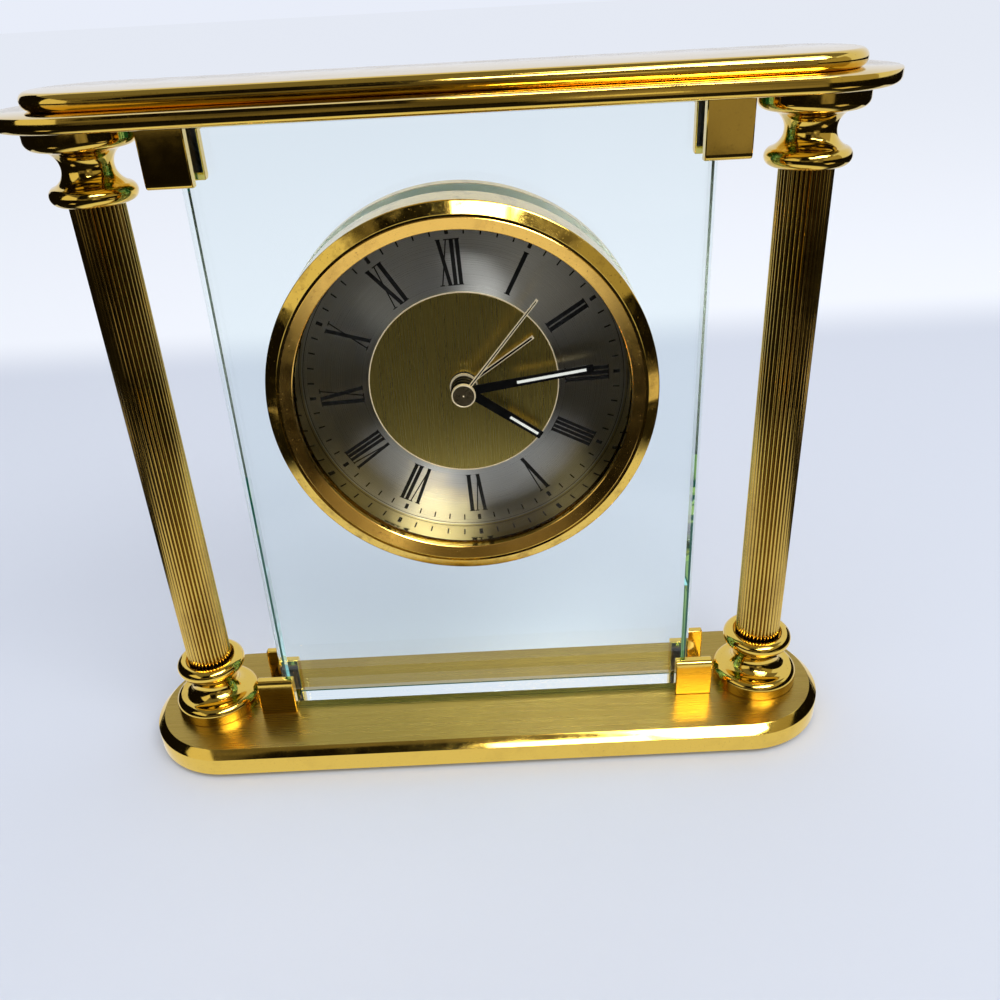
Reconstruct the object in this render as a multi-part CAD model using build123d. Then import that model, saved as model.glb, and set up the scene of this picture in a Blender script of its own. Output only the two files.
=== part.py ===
from build123d import *
import os
from math import cos, hypot, radians, sin

# Portico desk clock: X runs across the front, -Y faces the viewer, +Z is up.
# The origin is under the middle of the base. All sizes are millimetres.
os.makedirs("parts", exist_ok=True)

# Base, cornice and cap
base_length = 182.0
base_depth = 44.0
base_thickness = 7.0
base_edge_chamfer = 2.0
felt_thickness = 1.2
felt_inset = 2.0
cornice_setback = 1.0
cornice_thickness = 3.0
cornice_edge_round = 1.4
cap_inset = 6.6
cap_thickness = 3.5
cap_edge_round = 1.7

# Columns, with one turned piece used as foot and, upside down, as capital
column_inset = 16.85
column_height = 150.6
tube_radius = 5.7
tube_bore_radius = 4.3
reed_count = 36
reed_depth = 0.35
flange_radius = 11.1
flange_height = 4.6
flange_round = 2.0
neck_radius = 5.25
bell_height = 3.51
bead_radius = 1.95
bead_centre_radius = 6.95
bead_start_angle = 60.0
cup_clearance = 0.6
cup_depth = 3.0

# Tie rods through the columns
rod_radius = 2.0
rod_clearance = 0.2
rod_head_radius = 3.5
rod_head_height = 2.2
rod_head_recess = 0.4
rod_thread_depth = 2.2

# Glass panel and the clips that hold its corners
glass_column_gap = 19.35
glass_thickness = 10.0
glass_centre_y = 0.8
glass_top_gap = 0.2
glass_chamfer = 0.7
clip_width = 9.6
lower_clip_height = 10.8
upper_clip_height = 12.8
clip_jaw = 2.6
clip_web = 1.0
clip_round = 1.8
clip_grip = 3.5
pad_thickness = 0.4
pad_margin = 0.3
clip_screw_radius = 1.25
clip_screw_head_radius = 2.2
clip_screw_head_height = 1.0
clip_screw_length = 2.4

# Clock insert: heights along its axis are counted forwards from the glass's middle plane
axis_below_cornice = 59.0
drum_front_wall = 1.3
drum_rear_wall = 0.7
fit_clearance = 0.1
hole_clearance = 0.5
gasket_thickness = 0.5
gasket_width = 3.2
bezel_wall = 4.65
bezel_edge_height = 14.5
bezel_slope_width = 2.6
bezel_ridge_height = 15.7
groove_width = 0.6
groove_depth = 0.5
bezel_lip_width = 1.1
bezel_lip_height = 14.7
lens_thickness = 1.4
lens_rear = 12.2
retaining_ring_wall = 4.8
retaining_ring_thickness = 4.0

# Dial and hands, with angles clockwise from the twelve
dial_front = 4.7
dial_thickness = 0.6
dial_centre_radius = 21.35
dial_centre_thickness = 0.2
hand_thickness = 0.4
hand_step = 1.5
first_hand_rise = 1.0
hour_hand_reach = 21.1
hour_hand_width = 2.2
hour_hand_angle = 125.7
minute_hand_reach = 29.3
minute_hand_width = 2.1
minute_hand_angle = 82.0
second_hand_reach = 26.7
second_hand_width = 0.7
second_hand_angle = 39.4
alarm_hand_reach = 19.4
alarm_hand_width = 0.9
alarm_hand_angle = 55.6
hand_taper = 0.85
hub_wall = 0.5
hand_fit = 0.02
cap_disc_radius = 2.7
cap_disc_thickness = 1.0
cap_disc_bore_depth = 0.5
cap_disc_round = 0.25

# Coaxial pipes that carry the hands
second_arbor_radius = 0.6
pipe_wall = 0.64
running_clearance = 0.06
bush_wall = 0.4
bush_rise = 0.4

# Movement plates and wheel layers
front_plate_thickness = 1.2
wheel_thickness = 0.8
layer_gap = 0.4
rotor_magnet_height = 2.0
rotor_magnet_radius = 2.4
rotor_gap = 0.3
rear_plate_thickness = 1.0
pivot_radius = 0.5
pivot_recess = 0.2
pillar_radius = 2.0
post_radius = 1.3
pillar_screw_radius = 0.8
pillar_screw_head_radius = 1.6
pillar_screw_head_height = 0.8
pillar_screw_length = 4.0

# Teeth: every mesh has its own module, every wheel its own count
going_module = 0.25
second_module = 0.3
motion_module = 0.35
rotor_pinion_teeth = 8
intermediate_teeth = 40
intermediate_pinion_teeth = 8
second_teeth = 48
second_pinion_teeth = 8
third_teeth = 64
third_pinion_teeth = 8
centre_teeth = 60
cannon_teeth = 12
minute_teeth = 36
minute_pinion_teeth = 10
hour_teeth = 40
alarm_teeth = 40
set_pinion_teeth = 10
wheel_addendum = 0.9
wheel_dedendum = 1.25
wheel_tooth_share = 0.5
pinion_addendum = 0.75
pinion_dedendum = 1.25
pinion_tooth_share = 0.46
tip_share = 0.5

# Directions in which the wheels stand round the clock's axis, anticlockwise from the right
minute_wheel_angle = 0.0
intermediate_wheel_angle = 65.0
third_wheel_angle = 130.0
rotor_angle = 20.0
time_knob_angle = -25.0
alarm_knob_angle = 205.0

# Rear cover, knobs, switch, battery and electrics
cover_wall = 1.3
cover_gap = 1.2
cover_margin = 0.58
cover_edge_round = 1.0
cover_flange_step = 1.5
cover_flange_thickness = 1.2
cover_screw_radius = 0.8
cover_screw_head_radius = 1.3
cover_screw_head_height = 0.6
cover_screw_length = 3.2
knob_radius = 5.5
knob_height = 3.0
knob_flutes = 20
knob_flute_radius = 0.5
knob_gap = 0.4
shaft_radius = 0.8
battery_radius = 5.25
battery_length = 44.5
battery_plate_gap = 0.75
battery_gap = 0.7
contact_thickness = 0.5
contact_height = 8.0
cradle_width = 3.0
cradle_spread = 26.0
door_end_gap = 0.75
door_side_gap = 0.85
door_clearance = 0.15
door_rib_height = 0.5
door_rib_width = 1.0
door_rib_pitch = 2.0
switch_inset = 6.5
switch_travel = 4.0
switch_tab_length = 3.0
switch_tab_width = 2.6
switch_rise = 1.6
switch_clearance = 0.2
switch_plate_margin = 1.6
switch_plate_thickness = 0.8
buzzer_radius = 9.0
buzzer_thickness = 0.5
buzzer_place = (-20.0, 11.0)
sound_hole_radius = 0.8
sound_hole_circle = 4.0
sound_hole_count = 6
board_size = (18.0, 12.0)
board_place = (-14.5, 20.5)
board_thickness = 1.0
board_post_inset = 2.5
crystal_radius = 1.0
crystal_length = 6.0
crystal_rise = 4.0
coil_radius = 3.2
coil_length = 8.4
core_section = 2.4
stator_thickness = 1.0
stator_ring_wall = 2.0
stator_arm_spread = 12.4
stator_arm_width = 3.0
coil_lift = 14.3
stator_post_lift = 6.5

# Movement plates in the clock's plane: four pillars, and two opposite corners of the rear plate
pillar_places = [(-15.0, 0.0), (-2.5, 18.5), (18.0, 4.0), (2.0, -11.0)]
rear_plate_corner = (-18.5, -14.0)
rear_plate_opposite = (21.5, 20.6)

# Heights that follow from the sizes above
base_top = felt_thickness + base_thickness
cornice_bottom = base_top + column_height
cornice_top = cornice_bottom + cornice_thickness
cap_top = cornice_top + cap_thickness
column_x = base_length / 2 - column_inset
glass_width = 2 * (column_x - glass_column_gap)
axis_height = cornice_bottom - axis_below_cornice
cornice_length = base_length - 2 * cornice_setback
cornice_depth = base_depth - 2 * cornice_setback
cap_length = cornice_length - 2 * cap_inset
cap_depth = cornice_depth - 2 * cap_inset
cove_round = flange_radius - flange_round - neck_radius
bell_start = flange_height + cove_round
bead_height = bell_start + bell_height + bead_radius * sin(radians(bead_start_angle))
foot_height = bead_height + bead_radius
cup_radius = tube_radius + cup_clearance
cup_floor = foot_height - cup_depth
glass_bottom = base_top + clip_web
glass_top = cornice_bottom - clip_web - glass_top_gap
slot_width = glass_thickness + 2 * pad_thickness
clip_depth = slot_width + 2 * clip_jaw
clip_inner_x = glass_width / 2 - clip_grip
clip_centre_x = clip_inner_x + clip_width / 2
clip_screw_x = (glass_width / 2 + clip_inner_x + clip_width) / 2
glass_front = glass_thickness / 2
plate_front = dial_front - dial_thickness
plate_rear = plate_front - front_plate_thickness
layer_pitch = wheel_thickness + layer_gap


def layer(number):
    """Low and high face of a wheel layer, counted back from the front plate."""
    high = plate_rear - layer_gap - number * layer_pitch
    return high - wheel_thickness, high


ALARM, HOUR, MINUTE, CENTRE, THIRD, SECOND, INTERMEDIATE = range(7)
magnet_top = layer(INTERMEDIATE)[0] - layer_gap
magnet_bottom = magnet_top - rotor_magnet_height
rear_plate_front = magnet_bottom - layer_gap
rear_plate_rear = rear_plate_front - rear_plate_thickness
cover_inner = rear_plate_rear - cover_gap
cover_outer = cover_inner - cover_wall
drum_rear = -glass_front - gasket_thickness - retaining_ring_thickness

# Radii that follow from the inside outwards: the cover clears the battery hatch and the circuit board
battery_drop = battery_radius + battery_plate_gap - rear_plate_corner[1]
door_length = battery_length + 2 * (contact_thickness + door_end_gap)
door_height = 2 * (battery_radius + door_side_gap)
hatch_reach = hypot(door_length / 2 + door_clearance, battery_drop + door_height / 2 + door_clearance)
board_reach = hypot(abs(board_place[0]) + board_size[0] / 2, abs(board_place[1]) + board_size[1] / 2)
cover_bore = max(hatch_reach, board_reach) + cover_margin
cover_radius = cover_bore + cover_wall
drum_bore = cover_radius + fit_clearance
drum_radius = drum_bore + drum_rear_wall
drum_seat_radius = drum_radius + fit_clearance
bezel_radius = drum_seat_radius + bezel_wall
bezel_ridge_radius = bezel_radius - bezel_slope_width
bezel_lip_radius = drum_radius - bezel_lip_width
retaining_ring_radius = drum_seat_radius + retaining_ring_wall
cover_flange_radius = retaining_ring_radius - cover_flange_step
cover_screw_circle = (drum_seat_radius + cover_flange_radius) / 2
switch_height = cover_bore - switch_inset

clock = Plane(origin=(0, glass_centre_y, axis_height), x_dir=(1, 0, 0), z_dir=(0, -1, 0)).location


def prism(sketch, low, high):
    """A flat outline made solid between two heights."""
    return extrude(Pos(0, 0, low) * sketch, high - low)


def disc(radius, low, high, place=(0, 0)):
    return prism(Pos(*place) * Circle(radius), low, high)


def ring(outer, inner, low, high):
    return prism(Circle(outer) - Circle(inner), low, high)


def polar(distance, angle, start=(0, 0)):
    """A point at a distance and direction from another."""
    return start[0] + distance * cos(radians(angle)), start[1] + distance * sin(radians(angle))


# Base: a solid plate with round ends and a polished bevel round its top, on a glued felt
def base_plate():
    plate = prism(SlotOverall(base_length, base_depth), felt_thickness, base_top)
    plate = chamfer(plate.edges().group_by(Axis.Z)[-1], base_edge_chamfer)
    for side in (-1, 1):
        x = side * column_x
        plate -= disc(rod_radius + rod_clearance, 0, base_top, (x, 0))
        head_room = felt_thickness + rod_head_recess + rod_head_height
        plate -= disc(rod_head_radius + rod_clearance, 0, head_room, (x, 0))
        plate -= disc(clip_screw_radius, base_top - clip_screw_length, base_top, (side * clip_screw_x, glass_centre_y))
    return plate


def base_felt():
    outline = SlotOverall(base_length - 2 * felt_inset, base_depth - 2 * felt_inset)
    return prism(outline, 0, felt_thickness)


# Foot and capital: flange, cove, bell and bead turned from one bar, with a cup for the tube
def turned_foot():
    hole = rod_radius + rod_clearance
    bead_start = polar(bead_radius, -bead_start_angle, (bead_centre_radius, bead_height))
    with BuildSketch(Plane.XZ) as section:
        with BuildLine():
            Line((hole, 0), (flange_radius, 0))
            Line((flange_radius, 0), (flange_radius, flange_height - flange_round))
            CenterArc((flange_radius - flange_round, flange_height - flange_round), flange_round, 0, 90)
            CenterArc((flange_radius - flange_round, bell_start), cove_round, 270, -90)
            TangentArc((neck_radius, bell_start), bead_start, tangent=(0, 1))
            CenterArc((bead_centre_radius, bead_height), bead_radius, -bead_start_angle, 90 + bead_start_angle)
            Polyline(
                (bead_centre_radius, foot_height),
                (cup_radius, foot_height),
                (cup_radius, cup_floor),
                (hole, cup_floor),
                (hole, 0),
            )
        make_face()
    return revolve(section.sketch, Axis.Z)


def column_foot(side):
    return Pos(side * column_x, 0, base_top) * turned_foot()


def column_capital(side):
    return Pos(side * column_x, 0, cornice_bottom) * Rot(180, 0, 0) * turned_foot()


# Column tube: round reeds side by side, standing in the cups of foot and capital
def column_tube(side):
    step = 360 / reed_count
    valley = tube_radius - reed_depth
    with BuildSketch() as section:
        with BuildLine():
            for reed in range(reed_count):
                start = polar(valley, reed * step)
                crest = polar(tube_radius, (reed + 0.5) * step)
                end = polar(valley, (reed + 1) * step)
                ThreePointArc(start, crest, end)
        make_face()
        Circle(tube_bore_radius, mode=Mode.SUBTRACT)
    tube = prism(section.sketch, base_top + cup_floor, cornice_bottom - cup_floor)
    return Pos(side * column_x, 0, 0) * tube


# Tie rod: a long screw from under the base up into the cap, clamping the whole column
def tie_rod(side):
    x = side * column_x
    head_low = felt_thickness + rod_head_recess
    head = disc(rod_head_radius, head_low, head_low + rod_head_height, (x, 0))
    return head + disc(rod_radius, head_low, cornice_top + rod_thread_depth, (x, 0))


# Cornice: a plate over the capitals, and on it a smaller cap with a full round edge
def cornice_plate():
    plate = prism(SlotOverall(cornice_length, cornice_depth), cornice_bottom, cornice_top)
    plate = fillet(plate.edges().group_by(Axis.Z)[0], cornice_edge_round)
    for side in (-1, 1):
        plate -= disc(rod_radius + rod_clearance, cornice_bottom, cornice_top, (side * column_x, 0))
        screw_top = cornice_bottom + clip_screw_length
        plate -= disc(clip_screw_radius, cornice_bottom, screw_top, (side * clip_screw_x, glass_centre_y))
    return plate


def cornice_cap():
    cap = prism(SlotOverall(cap_length, cap_depth), cornice_top, cap_top)
    rims = cap.edges().group_by(Axis.Z)
    cap = fillet(rims[0] + rims[-1], min(cap_edge_round, 0.49 * cap_thickness))
    for side in (-1, 1):
        cap -= disc(rod_radius, cornice_top, cornice_top + rod_thread_depth, (side * column_x, 0))
    return cap


# Glass clips: a web with two jaws, the free ends rounded on the outside
def clip_block(height):
    jaws = Pos(0, height / 2) * Rectangle(clip_depth, height)
    slot_height = height - clip_web
    jaws -= Pos(0, clip_web + slot_height / 2) * Rectangle(slot_width, slot_height)
    corners = [v for v in jaws.vertices() if v.Y > height / 2 and abs(v.X) > slot_width / 2 + clip_jaw / 2]
    jaws = fillet(corners, clip_round)
    body = extrude(Plane.YZ * jaws, clip_width / 2, both=True)
    screw_side = clip_screw_x - clip_centre_x
    return body - disc(clip_screw_radius, 0, clip_web, (screw_side, 0))


def glass_clip(side, upper):
    turn = Rot(0, 0, 0) if side > 0 else Rot(0, 0, 180)
    place = Pos(side * clip_centre_x, glass_centre_y, cornice_bottom if upper else base_top)
    flip = Rot(180, 0, 0) if upper else Rot(0, 0, 0)
    return place * flip * turn * clip_block(upper_clip_height if upper else lower_clip_height)


def clip_screws():
    head_top = clip_web + clip_screw_head_height
    screw = disc(clip_screw_radius, -clip_screw_length, clip_web)
    screw += disc(clip_screw_head_radius, clip_web, head_top)
    screws = []
    for side in (-1, 1):
        screws.append(Pos(side * clip_screw_x, glass_centre_y, base_top) * screw)
        screws.append(Pos(side * clip_screw_x, glass_centre_y, cornice_bottom) * Rot(180, 0, 0) * screw)
    return Compound(children=screws)


def clip_pads():
    length = clip_grip - pad_margin
    lower = lower_clip_height - clip_web - clip_round - pad_margin
    upper = upper_clip_height - clip_web - clip_round - pad_margin
    pads = []
    for side in (-1, 1):
        x = side * (glass_width / 2 - length / 2)
        for face in (-1, 1):
            y = glass_centre_y + face * (glass_thickness + pad_thickness) / 2
            pads.append(Pos(x, y, glass_bottom + pad_margin + lower / 2) * Box(length, pad_thickness, lower))
            pads.append(Pos(x, y, glass_top - pad_margin - upper / 2) * Box(length, pad_thickness, upper))
    return Compound(children=pads)


# Glass panel: polished plate with eased edges and a round hole for the clock insert
def glass_panel():
    height = glass_top - glass_bottom
    panel = Pos(0, glass_centre_y, glass_bottom + height / 2) * Box(glass_width, glass_thickness, height)
    panel = chamfer(panel.edges(), glass_chamfer)
    return panel - clock * disc(drum_radius + hole_clearance, -glass_thickness, glass_thickness)


# Bezel: outer wall, polished outer slope, a fine groove and an inner slope down to the lens
def bezel():
    low = glass_front + gasket_thickness
    groove_floor = bezel_ridge_height - groove_depth
    inner_ridge = bezel_ridge_radius - groove_width
    section = Plane.XZ * make_face(
        Polyline(
            (drum_seat_radius, low),
            (bezel_radius, low),
            (bezel_radius, bezel_edge_height),
            (bezel_ridge_radius, bezel_ridge_height),
            (bezel_ridge_radius, groove_floor),
            (inner_ridge, groove_floor),
            (inner_ridge, bezel_ridge_height),
            (bezel_lip_radius, bezel_lip_height),
            (bezel_lip_radius, lens_rear + lens_thickness),
            (drum_seat_radius, lens_rear + lens_thickness),
            close=True,
        )
    )
    return clock * revolve(section, Axis.Z)


def lens():
    return clock * disc(drum_radius, lens_rear, lens_rear + lens_thickness)


# Case drum: goes through the glass; its front bore is the polished wall round the dial
def case_drum():
    drum = ring(drum_radius, drum_bore, drum_rear, lens_rear)
    drum += ring(drum_radius, drum_radius - drum_front_wall, dial_front, lens_rear)
    return clock * drum


# Gaskets: the front one lies under the bezel's wall, the rear one is as wide as the retaining ring
def front_gasket():
    inner = drum_radius + hole_clearance
    return clock * ring(inner + gasket_width, inner, glass_front, glass_front + gasket_thickness)


def rear_gasket():
    inner = drum_radius + hole_clearance
    return clock * ring(retaining_ring_radius, inner, -glass_front - gasket_thickness, -glass_front)


def cover_screw_places():
    return [polar(cover_screw_circle, angle) for angle in (90, 210, 330)]


def retaining_ring():
    low = drum_rear
    high = low + retaining_ring_thickness
    body = ring(retaining_ring_radius, drum_seat_radius, low, high)
    for place in cover_screw_places():
        body -= disc(cover_screw_radius, low, low + cover_screw_length, place)
    return clock * body


# Dial: a spun plate with an applied centre disc
def dial_hole_radius():
    return bush_radius() + fit_clearance


def dial_plate():
    return clock * ring(cover_radius, dial_hole_radius(), plate_front, dial_front)


def dial_centre():
    return clock * ring(dial_centre_radius, dial_hole_radius(), dial_front, dial_front + dial_centre_thickness)


# Coaxial pipes, from the second arbor outwards, each running in the next
def pipe_radii(number):
    """Bore and outside of the minute (0), hour (1) and alarm (2) pipe."""
    bore = second_arbor_radius + running_clearance + number * (pipe_wall + running_clearance)
    return bore, bore + pipe_wall


def bush_radius():
    return pipe_radii(2)[1] + running_clearance + bush_wall


ALARM_HAND, HOUR_HAND, MINUTE_HAND, SECOND_HAND = range(4)


def hand_height(number):
    """Underside of a hand, counted forwards from the dial."""
    return dial_front + first_hand_rise + number * hand_step


# Hands: flat blades on round hubs, each pressed on its pipe
def hand(number, seat_radius, reach, width, angle):
    low = hand_height(number)
    hub = seat_radius + hub_wall
    half = width / 2
    blade = make_face(
        Polyline(
            (-half, 0),
            (-half * hand_taper, reach),
            (half * hand_taper, reach),
            (half, 0),
            close=True,
        )
    )
    outline = Circle(hub) + blade - Circle(seat_radius + hand_fit)
    return clock * Rot(0, 0, -angle) * prism(outline, low, low + hand_thickness)


def cap_disc():
    low = hand_height(SECOND_HAND) + hand_thickness
    body = disc(cap_disc_radius, low, low + cap_disc_thickness)
    body = fillet(body.edges().group_by(Axis.Z)[-1], cap_disc_round)
    return clock * (body - disc(second_arbor_radius + hand_fit, low, low + cap_disc_bore_depth))


# Toothed wheels: straight-flanked teeth with play, so that every pair turns freely
def pitch_radius(teeth, module):
    return teeth * module / 2


def gear(teeth, module, phase, low, high, is_pinion=False):
    """A toothed disc with one tooth centred on the phase direction, in degrees."""
    addendum = pinion_addendum if is_pinion else wheel_addendum
    dedendum = pinion_dedendum if is_pinion else wheel_dedendum
    share = pinion_tooth_share if is_pinion else wheel_tooth_share
    tip = pitch_radius(teeth, module) + addendum * module
    root = pitch_radius(teeth, module) - dedendum * module
    step = 360 / teeth
    root_half = share * step / 2
    tip_half = root_half * tip_share
    points = []
    for tooth in range(teeth):
        middle = phase + tooth * step
        points.append(polar(root, middle - root_half))
        points.append(polar(tip, middle - tip_half))
        points.append(polar(tip, middle + tip_half))
        points.append(polar(root, middle + root_half))
    return prism(make_face(Polyline(*points, close=True)), low, high)


def mesh_phase(teeth, phase, direction, other_teeth):
    """Phase of a second wheel, standing in a direction from the first, that puts its gap on a tooth."""
    step = 360 / teeth
    share = ((direction - phase) / step) % 1
    return direction + 180 - (0.5 - share) * 360 / other_teeth


def arbor(place, radius=pivot_radius):
    return disc(radius, rear_plate_rear, plate_front - pivot_recess, place)


# Places of the wheels round the axis; the third wheel's own module closes its second mesh
minute_distance = (cannon_teeth + minute_teeth) * motion_module / 2
hour_module = 2 * minute_distance / (minute_pinion_teeth + hour_teeth)
third_distance = (third_pinion_teeth + centre_teeth) * going_module / 2
third_module = 2 * third_distance / (third_teeth + second_pinion_teeth)
intermediate_distance = (intermediate_pinion_teeth + second_teeth) * second_module / 2
rotor_distance = (rotor_pinion_teeth + intermediate_teeth) * going_module / 2
time_knob_distance = (minute_teeth + set_pinion_teeth) * motion_module / 2
alarm_knob_distance = (alarm_teeth + set_pinion_teeth) * motion_module / 2
minute_place = polar(minute_distance, minute_wheel_angle)
third_place = polar(third_distance, third_wheel_angle)
intermediate_place = polar(intermediate_distance, intermediate_wheel_angle)
rotor_place = polar(rotor_distance, rotor_angle, intermediate_place)
time_knob_place = polar(time_knob_distance, time_knob_angle, minute_place)
alarm_knob_place = polar(alarm_knob_distance, alarm_knob_angle)


def alarm_wheel():
    bore, outside = pipe_radii(2)
    low, high = layer(ALARM)
    top = hand_height(ALARM_HAND) + hand_thickness
    body = gear(alarm_teeth, motion_module, alarm_knob_angle, low, high) + disc(outside, low, top)
    return clock * (body - disc(bore, low, top))


def hour_wheel():
    bore, outside = pipe_radii(1)
    low, high = layer(HOUR)
    top = hand_height(HOUR_HAND) + hand_thickness
    body = gear(hour_teeth, hour_module, minute_wheel_angle, low, high) + disc(outside, low, top)
    return clock * (body - disc(bore, low, top))


def cannon_pinion():
    bore, outside = pipe_radii(0)
    low, high = layer(MINUTE)
    foot = layer(CENTRE)[0]
    top = hand_height(MINUTE_HAND) + hand_thickness
    phase = mesh_phase(minute_teeth, minute_wheel_angle, minute_wheel_angle + 180, cannon_teeth)
    body = gear(cannon_teeth, motion_module, phase, low, high, True) + disc(outside, foot, top)
    return clock * (body - disc(bore, foot, top))


def minute_wheel():
    low, high = layer(MINUTE)
    pinion_top = layer(HOUR)[1]
    phase = mesh_phase(hour_teeth, minute_wheel_angle, minute_wheel_angle, minute_pinion_teeth)
    pinion = gear(minute_pinion_teeth, hour_module, phase, high, pinion_top, True)
    wheel = gear(minute_teeth, motion_module, minute_wheel_angle, low, high)
    return clock * (Pos(*minute_place) * (wheel + pinion) + arbor(minute_place))


def centre_wheel():
    low, high = layer(CENTRE)
    bore = pipe_radii(0)[1] + running_clearance
    return clock * (gear(centre_teeth, going_module, third_wheel_angle, low, high) - disc(bore, low, high))


def third_wheel():
    low, high = layer(THIRD)
    pinion_top = layer(CENTRE)[1]
    phase = mesh_phase(centre_teeth, third_wheel_angle, third_wheel_angle, third_pinion_teeth)
    pinion = gear(third_pinion_teeth, going_module, phase, high, pinion_top, True)
    wheel = gear(third_teeth, third_module, third_wheel_angle + 180, low, high)
    return clock * (Pos(*third_place) * (wheel + pinion) + arbor(third_place))


def second_wheel():
    low, high = layer(SECOND)
    pinion_top = layer(THIRD)[1]
    phase = mesh_phase(third_teeth, third_wheel_angle + 180, third_wheel_angle + 180, second_pinion_teeth)
    pinion = gear(second_pinion_teeth, third_module, phase, high, pinion_top, True)
    wheel = gear(second_teeth, second_module, intermediate_wheel_angle, low, high)
    tip = hand_height(SECOND_HAND) + hand_thickness + cap_disc_bore_depth
    return clock * (wheel + pinion + disc(second_arbor_radius, rear_plate_rear, tip))


def intermediate_wheel():
    low, high = layer(INTERMEDIATE)
    pinion_top = layer(SECOND)[1]
    direction = intermediate_wheel_angle
    phase = mesh_phase(second_teeth, direction, direction, intermediate_pinion_teeth)
    pinion = gear(intermediate_pinion_teeth, second_module, phase, high, pinion_top, True)
    wheel = gear(intermediate_teeth, going_module, rotor_angle, low, high)
    return clock * (Pos(*intermediate_place) * (wheel + pinion) + arbor(intermediate_place))


def rotor():
    high = layer(INTERMEDIATE)[1]
    phase = mesh_phase(intermediate_teeth, rotor_angle, rotor_angle, rotor_pinion_teeth)
    pinion = gear(rotor_pinion_teeth, going_module, phase, magnet_top, high, True)
    magnet = disc(rotor_magnet_radius, magnet_bottom, magnet_top)
    return clock * (Pos(*rotor_place) * (pinion + magnet) + arbor(rotor_place))


# Setting knobs: fluted rims behind the cover, on shafts that carry a setting pinion
def setting_knob(place, pinion_layer, phase):
    low, high = layer(pinion_layer)
    top = cover_outer - knob_gap
    rim = Circle(knob_radius)
    for flute in range(knob_flutes):
        rim -= Pos(*polar(knob_radius, flute * 360 / knob_flutes)) * Circle(knob_flute_radius)
    body = prism(rim, top - knob_height, top) + disc(shaft_radius, top, plate_front - pivot_recess)
    body += gear(set_pinion_teeth, motion_module, phase, low, high, True)
    return clock * Pos(*place) * body


def time_set_knob():
    phase = mesh_phase(minute_teeth, minute_wheel_angle, time_knob_angle, set_pinion_teeth)
    return setting_knob(time_knob_place, MINUTE, phase)


def alarm_set_knob():
    phase = mesh_phase(alarm_teeth, alarm_knob_angle, alarm_knob_angle, set_pinion_teeth)
    return setting_knob(alarm_knob_place, ALARM, phase)


# Front plate: carries the dial, the bush of the pipes, the pillars and the posts
def pivots():
    train = [minute_place, third_place, intermediate_place, rotor_place]
    shafts = [time_knob_place, alarm_knob_place]
    return [(p, pivot_radius) for p in train] + [(p, shaft_radius) for p in shafts]


def board_posts():
    half = (board_size[0] / 2 - board_post_inset, board_size[1] / 2 - board_post_inset)
    return [(board_place[0] + sx * half[0], board_place[1] + sx * half[1]) for sx in (-1, 1)]


def stator_arms():
    return [(rotor_place[0] + side * stator_arm_spread / 2, rotor_place[1]) for side in (-1, 1)]


def battery_axis_height():
    return cover_inner + battery_gap + battery_radius


def front_plate():
    plate = disc(cover_radius, plate_rear, plate_front)
    plate += disc(bush_radius(), plate_rear, dial_front + bush_rise)
    for place in pillar_places:
        plate += disc(pillar_radius, rear_plate_front, plate_rear, place)
        plate -= disc(pillar_screw_radius, rear_plate_front, rear_plate_front + pillar_screw_length, place)
    for place in board_posts():
        plate += disc(post_radius, stator_bottom() + stator_thickness, plate_rear, place)
    for x, z in stator_arms():
        plate += disc(post_radius, stator_bottom() + stator_thickness, plate_rear, (x, z + stator_post_lift))
    for side in (-1, 1):
        block = Pos(side * cradle_spread / 2, -battery_drop) * Rectangle(cradle_width, 2 * battery_radius)
        plate += prism(block, battery_axis_height(), plate_rear)
    cell = Pos(0, -battery_drop, battery_axis_height()) * Rot(0, 90, 0)
    plate -= cell * Cylinder(battery_radius + fit_clearance, battery_length)
    plate -= disc(pipe_radii(2)[1] + running_clearance, plate_rear, dial_front + bush_rise)
    for place, radius in pivots():
        plate -= disc(radius + running_clearance, plate_rear, plate_front, place)
    return clock * plate


def rear_plate():
    width = rear_plate_opposite[0] - rear_plate_corner[0]
    height = rear_plate_opposite[1] - rear_plate_corner[1]
    centre = (rear_plate_corner[0] + width / 2, rear_plate_corner[1] + height / 2)
    plate = prism(Pos(*centre) * RectangleRounded(width, height, 2 * pillar_radius), rear_plate_rear, rear_plate_front)
    for place in pillar_places:
        plate -= disc(pillar_screw_radius + fit_clearance, rear_plate_rear, rear_plate_front, place)
    plate -= disc(second_arbor_radius + running_clearance, rear_plate_rear, rear_plate_front)
    for place, radius in pivots():
        plate -= disc(radius + running_clearance, rear_plate_rear, rear_plate_front, place)
    return clock * plate


def screw(radius, length, head_radius, head_height, seat):
    """A screw driven forwards, its head behind the seat."""
    return disc(radius, seat - head_height, seat + length) + disc(head_radius, seat - head_height, seat)


def pillar_screws():
    length = rear_plate_thickness + pillar_screw_length
    body = screw(pillar_screw_radius, length, pillar_screw_head_radius, pillar_screw_head_height, rear_plate_rear)
    return Compound(children=[clock * Pos(*place) * body for place in pillar_places])


# Motor and electrics: stator with its coil, circuit board with the crystal, buzzer, battery and contacts
def stator_bottom():
    return magnet_bottom + (rotor_magnet_height - stator_thickness) / 2


def stator():
    arm_length = coil_lift + core_section / 2
    wide = stator_arm_spread + stator_arm_width
    outline = Circle(rotor_magnet_radius + rotor_gap + stator_ring_wall)
    outline += Pos(0, stator_arm_width / 2) * Rectangle(wide, stator_arm_width)
    for side in (-1, 1):
        outline += Pos(side * stator_arm_spread / 2, arm_length / 2) * Rectangle(stator_arm_width, arm_length)
    outline += Pos(0, coil_lift) * Rectangle(wide, core_section)
    outline -= Circle(rotor_magnet_radius + rotor_gap)
    low = stator_bottom()
    return clock * Pos(*rotor_place) * prism(outline, low, low + stator_thickness)


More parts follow.
